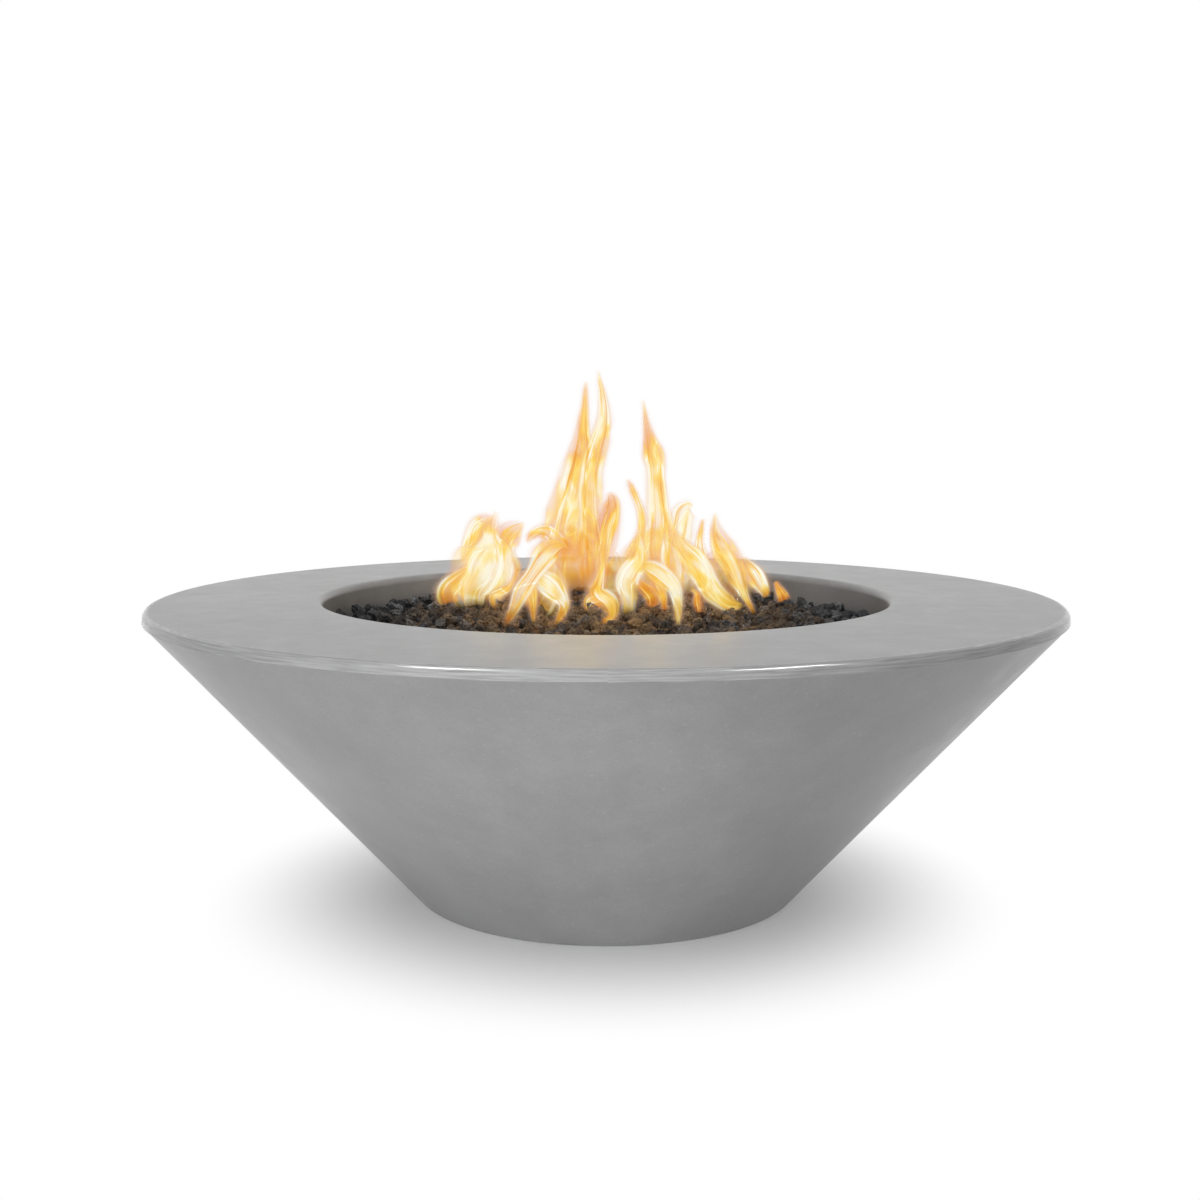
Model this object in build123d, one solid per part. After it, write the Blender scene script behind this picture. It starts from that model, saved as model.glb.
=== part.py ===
from build123d import *
from build123d.topology import SkipClean
import math
import os

import numpy as np

# Round gas fire pit: a concrete bowl with a wide ledge, a burner pan under lava rock, and a key valve.
# Millimetres, +Z up, origin on the floor at the bowl's axis. The key valve is at the back, on +Y.

# Clearances and cutting
SLIP = 0.05
SEAT = 0.3
END_ROOM = 1.0
OVERRUN = 5.0

# Concrete bowl
RIM_RADIUS = 609.6
OVERALL_HEIGHT = 406.4
OPENING_RADIUS = 381.0
BASE_RADIUS = 260.0
LEDGE_FALL = 3.0
RIM_BAND = 12.7
RIM_STEP = 1.5
RIM_TOP_ROUND = 5.0
RIM_LIP_ROUND_SHARE = 0.5
OPENING_ROUND = 9.0
FOOT_ROUND = 8.0
WALL = 25.0
LEDGE_THICKNESS = 28.0
COLLAR_WALL = 24.0
SHELF_DEPTH = 75.0
SHELF_WIDTH = 36.0
SHELF_THICKNESS = 24.0
SHELF_ROUND = 3.0
INSIDE_ROUND = 10.0
FLOOR_THICKNESS = 28.0
ACCESS_RADIUS = 100.0
ACCESS_ROUND = 5.0

# Burner pan
PAN_SHEET = 2.0
PAN_DEPTH = 48.0
PAN_BEND = 3.0
PAN_FLANGE_CLEARANCE = 6.0
PAN_WALL_CLEARANCE = 4.0
PAN_HOLE_CLEARANCE = 0.6
WEEP_RADIUS = 4.0
WEEP_EDGE = 39.0
WEEP_COUNT = 6

# Ring burner
BURNER_TUBE_RADIUS = 10.0
BURNER_TUBE_WALL = 1.5
OUTER_RING_RADIUS = 225.0
INNER_RING_RADIUS = 110.0
BURNER_STANDOFF = 10.0
SPOKE_RADIUS = 8.0
SPOKE_WALL = 1.5
SPOKE_COUNT = 4
SPOKE_ENGAGEMENT = 5.0
WELD_GAP = 0.2
FLAME_PORT_RADIUS = 1.5
OUTER_PORT_COUNT = 48
INNER_PORT_COUNT = 24
HUB_RADIUS = 19.0
HUB_CAP = 6.0

# Burner feet, with their screws and nuts
FOOT_COUNT = 4
FOOT_WIDTH = 26.0
FOOT_TAB = 24.0
FOOT_PLATE = 2.5
SADDLE_RISE = 4.0
SCREW_RADIUS = 2.5
SCREW_CLEARANCE = 0.2
SCREW_HEAD_RADIUS = 4.6
SCREW_HEAD_HEIGHT = 3.0
SCREW_TAIL = 2.0
FOOT_NUT_FLATS = 8.0
FOOT_NUT_HEIGHT = 4.0

# Screwed gas pipe and fittings
PIPE_RADIUS = 10.65
PIPE_BORE = 7.9
SOCKET_DEPTH = 13.0
FITTING_WALL = 4.85
ELBOW_WALL = 4.5
ELBOW_BEND_SHARE = 1.25
NIPPLE_SHOW = 6.0
RISER_SHOW = 47.5
COUPLING_STOP = 8.0
INLET_RISE = 15.0
SUPPLY_DROP_Y = 0.0
PAN_GASKET = 1.5
PAN_GASKET_WIDTH = 9.0
PAN_LOCKNUT_FLATS = 36.0
PAN_LOCKNUT_HEIGHT = 7.0

# Bent feed tube with flared ends
FEED_RADIUS = 8.0
FEED_WALL = 1.2
FEED_BEND = 45.0
FEED_RUN_X = 115.0
FLARE_RADIUS = 9.5
FLARE_LENGTH = 14.0
FLARE_CHAMFER = 2.5
FITTING_FLATS = 25.0
FITTING_HEX = 8.0
FLARE_NUT_FLATS = 27.0
FLARE_NUT_LENGTH = 20.0
FLARE_NUT_LAP = 12.0

# Key valve, set square to the cone wall
VALVE_SETBACK = 72.0
BALL_RADIUS = 12.0
BALL_PORT = 7.5
BALL_SLOT_WIDTH = 5.0
BALL_SLOT_DEPTH = 3.0
SEAT_BACK = 3.0
SEAT_FACE = 5.0
CHAMBER_ROOM = 2.0
VALVE_WALL = 4.5
PASSAGE_LENGTH = 5.0
TAIL_ENGAGEMENT = 9.0
VALVE_HEX_LENGTH = 14.0
STEM_RADIUS = 5.0
STEM_SQUARE_SHARE = 1.4
STEM_SQUARE_LENGTH = 14.0
STEM_SHOULDER = 4.0
NECK_RADIUS = 12.0
NECK_LAP = 8.5
PACKING_RADIUS = 8.5
PACKING_HEIGHT = 4.5
PACKING_NUT_PLUG = 2.5
PACKING_NUT_HEAD = 5.0
PACKING_NUT_SHARE = 0.94

# Wall sleeve, its locknut and the escutcheon
SLEEVE_WALL = 3.0
SLEEVE_REACH = 6.5
SLEEVE_CLEARANCE = 0.5
SPOT_DEPTH = 1.5
SPOT_CLEARANCE = 1.0
LOCKNUT_FLATS = 42.0
LOCKNUT_HEIGHT = 8.0
ESCUTCHEON_RADIUS = 34.0
ESCUTCHEON_PLATE = 3.0
ESCUTCHEON_WALL = 3.5
ESCUTCHEON_CAP = 3.0
ESCUTCHEON_ROUND = 1.5

# Loose key
KEY_SOCKET_WALL = 2.4
KEY_SOCKET_CLEARANCE = 0.15
KEY_SOCKET_GAP = 2.0
KEY_SOCKET_LENGTH = 18.0
KEY_SHAFT_RADIUS = 6.0
KEY_HOLE_CLEARANCE = 1.0
KEY_REACH = 54.0
KEY_END = 8.0
KEY_END_ROUND = 2.0
KEY_BAR_RADIUS = 4.0
KEY_BAR_LENGTH = 64.0
KEY_BAR_ROUND_SHARE = 0.6

# Lava rock
FILL_EDGE_DEPTH = 52.0
FILL_CROWN = 10.0
ROCK_RADIUS = 15.6
ROCK_SIZE_SHARES = (0.8, 1.0)
ROCK_SHIFT = 1.1
ROCK_GAP = 0.6
ROCK_SEAT = 0.5
ROCK_SHAPES = 12
ROCK_SIDES = 5
ROCK_RING_SHARE = 0.45
ROCK_FLAT_SHARE = 0.72
ROCK_ROUGH_SHARES = (0.74, 1.0)
ROCK_SEED = 11

# Lines and levels that the pieces share
rim_z = OVERALL_HEIGHT - LEDGE_FALL
band_z = rim_z - RIM_BAND
ledge_under_z = rim_z - LEDGE_THICKNESS
shelf_z = OVERALL_HEIGHT - SHELF_DEPTH
shelf_under_z = shelf_z - SHELF_THICKNESS
shelf_radius = OPENING_RADIUS - SHELF_WIDTH
collar_radius = OPENING_RADIUS + COLLAR_WALL
cone_top_radius = RIM_RADIUS - RIM_STEP
cone_slope = (cone_top_radius - BASE_RADIUS) / band_z
cone_lean = math.atan(cone_slope)
wall_plan = WALL / math.cos(cone_lean)

flange_z = shelf_z + PAN_SHEET
pan_floor_z = flange_z - PAN_DEPTH
pan_under_z = pan_floor_z - PAN_SHEET
pan_wall_radius = shelf_radius - PAN_WALL_CLEARANCE
pan_inner_radius = pan_wall_radius - PAN_SHEET
pan_flange_radius = OPENING_RADIUS - PAN_FLANGE_CLEARANCE

ring_z = pan_floor_z + BURNER_STANDOFF + BURNER_TUBE_RADIUS
ring_top_z = ring_z + BURNER_TUBE_RADIUS
hub_top_z = ring_z + SPOKE_RADIUS + HUB_CAP
spoke_bore = SPOKE_RADIUS - SPOKE_WALL
spoke_angles = [index * 360 / SPOKE_COUNT for index in range(SPOKE_COUNT)]
foot_angles = [(index + 1 / 2) * 360 / FOOT_COUNT for index in range(FOOT_COUNT)]

socket_radius = PIPE_RADIUS + SLIP
socket_room = SOCKET_DEPTH + END_ROOM
fitting_radius = PIPE_RADIUS + FITTING_WALL
elbow_radius = PIPE_BORE + ELBOW_WALL
elbow_bend = elbow_radius * ELBOW_BEND_SHARE
elbow_leg = elbow_bend + socket_room
gasket_z = pan_under_z - PAN_GASKET
locknut_z = gasket_z - PAN_LOCKNUT_HEIGHT
valve_z = locknut_z - RISER_SHOW - elbow_leg

shoulder_x = BALL_RADIUS + SEAT_BACK
chamber_radius = BALL_RADIUS + CHAMBER_ROOM
valve_radius = chamber_radius + VALVE_WALL
port_x = shoulder_x + PASSAGE_LENGTH + socket_room
body_end_x = shoulder_x + TAIL_ENGAGEMENT
neck_top = valve_radius + NECK_LAP
packing_base = neck_top - PACKING_HEIGHT - PACKING_NUT_PLUG
packing_nut_top = neck_top + PACKING_NUT_HEAD
stem_shoulder = packing_nut_top + STEM_SHOULDER
stem_top = stem_shoulder + STEM_SQUARE_LENGTH
stem_square = STEM_RADIUS * STEM_SQUARE_SHARE
sleeve_bore = NECK_RADIUS + SLIP
sleeve_radius = sleeve_bore + SLEEVE_WALL
sleeve_base = valve_radius + END_ROOM
key_base = stem_shoulder + KEY_SOCKET_GAP
key_socket_radius = stem_square / math.sqrt(2) + KEY_SOCKET_WALL

# The wall frame stands on the cone at the back, level with the valve, with Z pointing out of the wall
wall_z = valve_z - VALVE_SETBACK * math.sin(cone_lean)
wall_y = BASE_RADIUS + wall_z * cone_slope
wall_out = (0, math.cos(cone_lean), -math.sin(cone_lean))
wall_at = Plane(origin=(0, wall_y, wall_z), x_dir=(1, 0, 0), z_dir=wall_out).location
valve_at = wall_at * Pos(0, 0, -VALVE_SETBACK)
valve_y = wall_y - VALVE_SETBACK * math.cos(cone_lean)
supply_x = -(port_x + NIPPLE_SHOW + elbow_leg)

ON_BASE = (Align.CENTER, Align.CENTER, Align.MIN)
ALONG_X = Rot(0, 90, 0)
ALONG_MINUS_X = Rot(0, -90, 0)
ALONG_Y = Rot(-90, 0, 0)


def turned(points, rounds):
    """Solid of revolution about Z, from corners (radius, height), each with its own round."""
    outline = FilletPolyline(*points, radius=rounds, close=True)
    return revolve(Plane.XZ * make_face(outline), Axis.Z)


def rod(radius, start, end):
    """Round bar along Z from start to end."""
    return Pos(0, 0, start) * Cylinder(radius, end - start, align=ON_BASE)


def hexagon(flats, start, end):
    """Hexagonal bar along Z from start to end, flats apart across its flats."""
    return Pos(0, 0, start) * extrude(RegularPolygon(flats / 2, 6, major_radius=False), end - start)


def pipe(radius, bore, start, end):
    """Round tube along Z from start to end."""
    return rod(radius, start, end) - rod(bore, start - OVERRUN, end + OVERRUN)


def concrete_bowl():
    """One casting: foot, cone wall, rim band, ledge, opening, and the inner shelf that carries the pan."""
    inner_top = BASE_RADIUS + ledge_under_z * cone_slope - wall_plan
    inner_floor = BASE_RADIUS + FLOOR_THICKNESS * cone_slope - wall_plan
    lip_round = RIM_STEP * RIM_LIP_ROUND_SHARE
    corners = [
        ((ACCESS_RADIUS, 0), ACCESS_ROUND),
        ((BASE_RADIUS, 0), FOOT_ROUND),
        ((cone_top_radius, band_z), 0),
        ((RIM_RADIUS, band_z), lip_round),
        ((RIM_RADIUS, rim_z), RIM_TOP_ROUND),
        ((OPENING_RADIUS, OVERALL_HEIGHT), OPENING_ROUND),
        ((OPENING_RADIUS, shelf_z), 0),
        ((shelf_radius, shelf_z), SHELF_ROUND),
        ((shelf_radius, shelf_under_z), SHELF_ROUND),
        ((collar_radius, shelf_under_z), SHELF_ROUND),
        ((collar_radius, ledge_under_z), INSIDE_ROUND),
        ((inner_top, ledge_under_z), INSIDE_ROUND),
        ((inner_floor, FLOOR_THICKNESS), INSIDE_ROUND),
        ((ACCESS_RADIUS, FLOOR_THICKNESS), ACCESS_ROUND),
    ]
    casting = turned([point for point, radius in corners], [radius for point, radius in corners])
    locknut_reach = LOCKNUT_FLATS / math.sqrt(3) + SPOT_CLEARANCE
    sleeve_hole = rod(sleeve_radius + SLEEVE_CLEARANCE, -WALL - OVERRUN, OVERRUN)
    outer_spot = rod(ESCUTCHEON_RADIUS + SPOT_CLEARANCE, -SPOT_DEPTH, OVERRUN)
    inner_spot = rod(locknut_reach, -WALL - OVERRUN, -WALL + SPOT_DEPTH)
    return casting - [wall_at * cut for cut in (sleeve_hole, outer_spot, inner_spot)]


def burner_pan():
    """Pressed steel pan that hangs by its flange, with a riser hole and weep holes."""
    outer_bend = PAN_BEND + PAN_SHEET
    hole = PIPE_RADIUS + PAN_HOLE_CLEARANCE
    corners = [
        ((hole, pan_under_z), 0),
        ((pan_wall_radius, pan_under_z), outer_bend),
        ((pan_wall_radius, shelf_z), PAN_BEND),
        ((pan_flange_radius, shelf_z), 0),
        ((pan_flange_radius, flange_z), 0),
        ((pan_inner_radius, flange_z), outer_bend),
        ((pan_inner_radius, pan_floor_z), PAN_BEND),
        ((hole, pan_floor_z), 0),
    ]
    pan = turned([point for point, radius in corners], [radius for point, radius in corners])
    weep = rod(WEEP_RADIUS, pan_under_z - OVERRUN, pan_floor_z + OVERRUN)
    holes = [place * weep for place in PolarLocations(pan_inner_radius - WEEP_EDGE, WEEP_COUNT)]
    for angle in foot_angles:
        holes.append(Rot(0, 0, angle) * screw_place() * screw_hole())
    return pan - holes


def burner_ring(radius, port_count, gas_sides):
    """Hollow ring of bent arcs end to end, with flame ports on top and gas holes for the spokes."""
    arc_angle = 360 / SPOKE_COUNT
    port_angle = 360 / port_count
    section = Circle(BURNER_TUBE_RADIUS) - Circle(BURNER_TUBE_RADIUS - BURNER_TUBE_WALL)
    tube = revolve(Plane.XZ * Pos(radius, 0) * Rot(0, 0, -90) * section, Axis.Z, arc_angle)
    flame_port = Pos(radius, 0, 0) * rod(FLAME_PORT_RADIUS, 0, BURNER_TUBE_RADIUS + OVERRUN)
    cuts = [Rot(0, 0, (index + 1 / 2) * port_angle) * flame_port for index in range(port_count // SPOKE_COUNT)]
    for side in gas_sides:
        start = min(radius, radius + side * (BURNER_TUBE_RADIUS + OVERRUN))
        gas_hole = rod(spoke_bore, start, start + BURNER_TUBE_RADIUS + OVERRUN)
        cuts.append(Rot(0, 0, arc_angle / 2) * ALONG_X * gas_hole)
    with SkipClean():
        arc = Rot(0, 0, -arc_angle / 2) * (tube - cuts)
        ring = arc + [Rot(0, 0, angle) * arc for angle in spoke_angles[1:]]
    return Pos(0, 0, ring_z) * ring


def spokes(start, end, rings):
    """Gas tubes between start and end radius, coped to the rings that they are welded to."""
    copes = [Torus(radius, BURNER_TUBE_RADIUS + WELD_GAP) for radius in rings]
    spoke = ALONG_X * pipe(SPOKE_RADIUS, spoke_bore, start, end) - copes
    return [Pos(0, 0, ring_z) * Rot(0, 0, angle) * spoke for angle in spoke_angles]


def burner_hub():
    """Closed hub on the pan floor: riser socket below, gas chamber inside, a hole for each spoke."""
    socket_top = pan_floor_z + socket_room
    hub = rod(HUB_RADIUS, pan_floor_z, hub_top_z)
    hub = hub - rod(socket_radius, pan_floor_z - OVERRUN, socket_top)
    hub = hub - rod(PIPE_BORE, pan_floor_z, hub_top_z - HUB_CAP)
    spoke_socket = rod(SPOKE_RADIUS + SLIP, HUB_RADIUS - SPOKE_ENGAGEMENT, HUB_RADIUS + OVERRUN)
    gas_hole = rod(spoke_bore, 0, HUB_RADIUS)
    cuts = [ALONG_X * spoke_socket, ALONG_X * gas_hole]
    return hub - [Pos(0, 0, ring_z) * Rot(0, 0, angle) * cut for angle in spoke_angles for cut in cuts]


def screw_place():
    """Place of a foot's screw on the pan floor, beside the foot's upright."""
    return Pos(OUTER_RING_RADIUS, (FOOT_TAB + FOOT_PLATE) / 2, pan_floor_z)


def screw_hole():
    """Cutter for a foot screw through the foot and the pan."""
    return rod(SCREW_RADIUS + SCREW_CLEARANCE, -PAN_SHEET - OVERRUN, FOOT_PLATE + OVERRUN)


def burner_feet():
    """Bent plates under the outer ring: a screwed tab, and an upright with a saddle for the tube."""
    tab = Box(FOOT_WIDTH, FOOT_TAB, FOOT_PLATE, align=(Align.CENTER, Align.MIN, Align.MIN))
    upright_top = BURNER_STANDOFF + SADDLE_RISE
    upright = Box(FOOT_WIDTH, FOOT_PLATE, upright_top, align=(Align.CENTER, Align.MIN, Align.MIN))
    foot = Pos(OUTER_RING_RADIUS, 0, pan_floor_z) * (tab + upright)
    foot = foot - Pos(0, 0, ring_z) * Torus(OUTER_RING_RADIUS, BURNER_TUBE_RADIUS + WELD_GAP)
    foot = foot - screw_place() * screw_hole()
    return [Rot(0, 0, angle) * foot for angle in foot_angles]


def foot_screws():
    """Pan-head screws down through the feet and the pan."""
    tail = PAN_SHEET + FOOT_NUT_HEIGHT + SCREW_TAIL
    head = rod(SCREW_HEAD_RADIUS, FOOT_PLATE, FOOT_PLATE + SCREW_HEAD_HEIGHT)
    head = fillet(head.edges().group_by(Axis.Z)[-1], SCREW_HEAD_HEIGHT / 2)
    screw = screw_place() * (head + rod(SCREW_RADIUS, -tail, FOOT_PLATE))
    return [Rot(0, 0, angle) * screw for angle in foot_angles]


def foot_nuts():
    """Nuts of the foot screws, under the pan."""
    low = -PAN_SHEET - FOOT_NUT_HEIGHT
    nut = hexagon(FOOT_NUT_FLATS, low, -PAN_SHEET) - rod(SCREW_RADIUS + SLIP, low - OVERRUN, 0)
    return [Rot(0, 0, angle) * screw_place() * nut for angle in foot_angles]


def elbow():
    """Screwed elbow about the origin, with sockets that face +X and +Z."""
    route = FilletPolyline((elbow_leg, 0, 0), (0, 0, 0), (0, 0, elbow_leg), radius=elbow_bend)
    mouth = Plane(origin=(elbow_leg, 0, 0), x_dir=(0, 1, 0), z_dir=(-1, 0, 0))
    collar = rod(fitting_radius, elbow_leg - SOCKET_DEPTH, elbow_leg)
    body = sweep(mouth * Circle(elbow_radius), path=route) + collar + ALONG_X * collar
    socket = rod(socket_radius, elbow_leg - socket_room, elbow_leg + OVERRUN)
    return body - sweep(mouth * Circle(PIPE_BORE), path=route) - socket - ALONG_X * socket


def flare_fitting():
    """Adapter along Z: pipe thread below its hexagon, flare nose above, bored through."""
    nose = FITTING_HEX + FLARE_LENGTH
    bar = rod(PIPE_RADIUS, -SOCKET_DEPTH, 0) + hexagon(FITTING_FLATS, 0, FITTING_HEX)
    flare = chamfer(rod(FLARE_RADIUS, FITTING_HEX, nose).edges().group_by(Axis.Z)[-1], FLARE_CHAMFER)
    return bar + flare - rod(FEED_RADIUS - FEED_WALL, -SOCKET_DEPTH - OVERRUN, nose + OVERRUN)


def flare_nut():
    """Nut along Z that laps the flare nose and draws the tube's end to it."""
    nose = FITTING_HEX + FLARE_LENGTH
    start = nose - FLARE_NUT_LAP
    nut = hexagon(FLARE_NUT_FLATS, start, start + FLARE_NUT_LENGTH)
    nut = nut - rod(FLARE_RADIUS + SLIP, start - OVERRUN, nose + SEAT)
    return nut - rod(FEED_RADIUS + SLIP, nose, start + FLARE_NUT_LENGTH + OVERRUN)


def feed_tube():
    """Rigid tube bent in one plane, from the valve's outlet round to the riser elbow."""
    tube_start = FITTING_HEX + FLARE_LENGTH + SEAT
    valve_end = port_x + tube_start
    riser_end = elbow_leg + tube_start
    corners = ((valve_end, valve_y), (FEED_RUN_X, valve_y), (FEED_RUN_X, 0), (riser_end, 0))
    route = FilletPolyline(*[(x, y, valve_z) for x, y in corners], radius=FEED_BEND)
    mouth = Plane(origin=(valve_end, valve_y, valve_z), x_dir=(0, 1, 0), z_dir=(1, 0, 0))
    return sweep(mouth * Circle(FEED_RADIUS), path=route) - sweep(
        mouth * Circle(FEED_RADIUS - FEED_WALL), path=route
    )


def valve_body():
    """Ball valve body: flow along X, threaded inlet at -X, chamber open to +X, stem neck along Z."""
    barrel = rod(valve_radius, -port_x + VALVE_HEX_LENGTH, body_end_x)
    barrel = barrel + hexagon(2 * valve_radius, -port_x, -port_x + VALVE_HEX_LENGTH)
    body = ALONG_X * barrel + rod(NECK_RADIUS, 0, neck_top)
    inlet = rod(socket_radius, -port_x - OVERRUN, -port_x + socket_room)
    passage = rod(BALL_PORT, -port_x, 0)
    chamber = rod(chamber_radius, -shoulder_x, body_end_x + OVERRUN)
    stem_hole = rod(STEM_RADIUS + SLIP, 0, neck_top + OVERRUN)
    packing_hole = rod(PACKING_RADIUS, packing_base, neck_top + OVERRUN)
    flow_cuts = [ALONG_X * cut for cut in (inlet, passage, chamber)]
    return valve_at * (body - flow_cuts - stem_hole - packing_hole)


def valve_tailpiece():
    """Screwed end piece that closes the chamber and holds the seats against the ball."""
    plug = rod(chamber_radius - SLIP, shoulder_x, body_end_x)
    end = hexagon(2 * valve_radius, body_end_x, port_x)
    passage = rod(BALL_PORT, shoulder_x - OVERRUN, port_x)
    outlet = rod(socket_radius, port_x - socket_room, port_x + OVERRUN)
    return valve_at * ALONG_X * (plug + end - passage - outlet)


def valve_seats():
    """Two seat rings, dished to the ball."""
    blank = pipe(chamber_radius - SLIP, BALL_PORT, shoulder_x - SEAT_BACK - SEAT_FACE, shoulder_x)
    seat = blank - Sphere(BALL_RADIUS + SLIP)
    return [valve_at * turn * seat for turn in (ALONG_X, ALONG_MINUS_X)]


def valve_ball():
    """Ball with a through port along X and a slot on top for the stem."""
    slot_base = BALL_RADIUS - BALL_SLOT_DEPTH
    slot = Pos(0, 0, slot_base) * Box(2 * BALL_RADIUS, BALL_SLOT_WIDTH, BALL_RADIUS, align=ON_BASE)
    port = rod(BALL_PORT, -BALL_RADIUS - OVERRUN, BALL_RADIUS + OVERRUN)
    return valve_at * (Sphere(BALL_RADIUS) - ALONG_X * port - slot)


def valve_stem():
    """Stem with a tang in the ball's slot, a round shank in the packing and a square for the key."""
    tang_base = BALL_RADIUS - BALL_SLOT_DEPTH + SLIP
    tang_top = BALL_RADIUS + SLIP
    tang_width = BALL_SLOT_WIDTH - 2 * SLIP
    tang = Box(2 * STEM_RADIUS, tang_width, tang_top - tang_base, align=ON_BASE)
    tang = (Pos(0, 0, tang_base) * tang) & rod(STEM_RADIUS, tang_base, tang_top)
    square = Box(stem_square, stem_square, STEM_SQUARE_LENGTH, align=ON_BASE)
    shank = rod(STEM_RADIUS, tang_top, stem_shoulder)
    return valve_at * (tang + shank + Pos(0, 0, stem_shoulder) * square)


def stem_packing():
    """Packing ring round the stem."""
    ring = pipe(PACKING_RADIUS - SLIP, STEM_RADIUS + SLIP, packing_base, packing_base + PACKING_HEIGHT)
    return valve_at * ring


def packing_nut():
    """Gland nut that presses the packing down."""
    plug = rod(PACKING_RADIUS - SLIP, neck_top - PACKING_NUT_PLUG, neck_top)
    flats = NECK_RADIUS * PACKING_NUT_SHARE * math.sqrt(3)
    nut = plug + hexagon(flats, neck_top, packing_nut_top)
    return valve_at * (nut - rod(STEM_RADIUS + SLIP, 0, packing_nut_top + OVERRUN))


def valve_sleeve():
    """Threaded sleeve from the valve's neck out through the wall."""
    return valve_at * pipe(sleeve_radius, sleeve_bore, sleeve_base, VALVE_SETBACK + SLEEVE_REACH)


def sleeve_locknut():
    """Locknut on the sleeve, against the inside of the wall."""
    face = SPOT_DEPTH - WALL
    nut = hexagon(LOCKNUT_FLATS, face - LOCKNUT_HEIGHT, face)
    return wall_at * (nut - rod(sleeve_radius + SLIP, face - LOCKNUT_HEIGHT - OVERRUN, OVERRUN))


def escutcheon():
    """Turned flange screwed on the sleeve's outer end, with a hole for the key in its cap."""
    plate_top = ESCUTCHEON_PLATE - SPOT_DEPTH
    inner_top = SLEEVE_REACH + SEAT
    cap_top = inner_top + ESCUTCHEON_CAP
    collar = sleeve_radius + ESCUTCHEON_WALL
    bore = sleeve_radius + SLIP
    key_hole = key_socket_radius + KEY_HOLE_CLEARANCE
    corners = [
        ((bore, -SPOT_DEPTH), 0),
        ((ESCUTCHEON_RADIUS, -SPOT_DEPTH), 0),
        ((ESCUTCHEON_RADIUS, plate_top), ESCUTCHEON_ROUND),
        ((collar, plate_top), ESCUTCHEON_ROUND),
        ((collar, cap_top), ESCUTCHEON_ROUND),
        ((key_hole, cap_top), 0),
        ((key_hole, inner_top), 0),
        ((bore, inner_top), 0),
    ]
    return wall_at * turned([point for point, radius in corners], [radius for point, radius in corners])


def key_shaft():
    """Key that slips over the stem's square, with a cross hole for its handle."""
    top = VALVE_SETBACK + KEY_REACH
    socket_end = key_base + KEY_SOCKET_LENGTH
    shaft = rod(KEY_SHAFT_RADIUS, socket_end, top)
    shaft = fillet(shaft.edges().group_by(Axis.Z)[-1], KEY_END_ROUND)
    socket_square = stem_square + 2 * KEY_SOCKET_CLEARANCE
    socket_depth = stem_top - key_base + END_ROOM
    socket = Box(socket_square, socket_square, socket_depth, align=ON_BASE)
    key = shaft + rod(key_socket_radius, key_base, socket_end) - Pos(0, 0, key_base) * socket
    cross_hole = rod(KEY_BAR_RADIUS + SLIP, -KEY_SHAFT_RADIUS - OVERRUN, KEY_SHAFT_RADIUS + OVERRUN)
    return valve_at * (key - Pos(0, 0, top - KEY_END) * ALONG_X * cross_hole)


def key_handle():
    """Round bar pressed through the key's end, with rounded ends."""
    bar = rod(KEY_BAR_RADIUS, -KEY_BAR_LENGTH / 2, KEY_BAR_LENGTH / 2)
    bar = fillet(bar.edges().filter_by(GeomType.CIRCLE), KEY_BAR_RADIUS * KEY_BAR_ROUND_SHARE)
    return wall_at * Pos(0, 0, KEY_REACH - KEY_END) * ALONG_X * bar


def fill_height(radius):
    """Height of the packed rock at a distance from the axis: a low cone, highest in the middle."""
    return OVERALL_HEIGHT - FILL_EDGE_DEPTH + FILL_CROWN * (1 - radius / OPENING_RADIUS)


def lava_rock_fill():
    """Packed rock in the pan, heaped to the middle, with channels round the burner open below."""
    pan_side = pan_inner_radius - SEAT
    wall_side = OPENING_RADIUS - SEAT
    base = pan_floor_z + SEAT
    over_flange = flange_z + SEAT
    corners = [
        ((HUB_RADIUS + SEAT, base), 0),
        ((pan_side, base), PAN_BEND),
        ((pan_side, over_flange), 0),
        ((wall_side, over_flange), 0),
        ((wall_side, fill_height(wall_side)), 0),
        ((0, fill_height(0)), 0),
        ((0, hub_top_z + SEAT), 0),
        ((HUB_RADIUS + SEAT, hub_top_z + SEAT), 0),
    ]
    heap = turned([point for point, radius in corners], [radius for point, radius in corners])
    cuts = []
    for radius in (OUTER_RING_RADIUS, INNER_RING_RADIUS):
        half = BURNER_TUBE_RADIUS + SEAT
        cuts.append(pipe(radius + half, radius - half, pan_floor_z, ring_top_z + SEAT))
    spoke_height = ring_z + SPOKE_RADIUS + SEAT - pan_floor_z
    spoke_width = 2 * (SPOKE_RADIUS + SEAT)
    channel = Box(OUTER_RING_RADIUS, spoke_width, spoke_height, align=(Align.MIN, Align.CENTER, Align.MIN))
    cuts += [Rot(0, 0, angle) * Pos(0, 0, pan_floor_z) * channel for angle in spoke_angles]
    foot_height = max(FOOT_PLATE + SCREW_HEAD_HEIGHT, BURNER_STANDOFF + SADDLE_RISE) + SEAT
    pocket = Box(
        FOOT_WIDTH + 2 * SEAT,
        FOOT_TAB + 2 * SEAT,
        foot_height,
        align=(Align.CENTER, Align.MIN, Align.MIN),
    )
    pocket = Pos(OUTER_RING_RADIUS, -SEAT, pan_floor_z) * pocket
    cuts += [Rot(0, 0, angle) * pocket for angle in foot_angles]
    return heap - cuts


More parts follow.
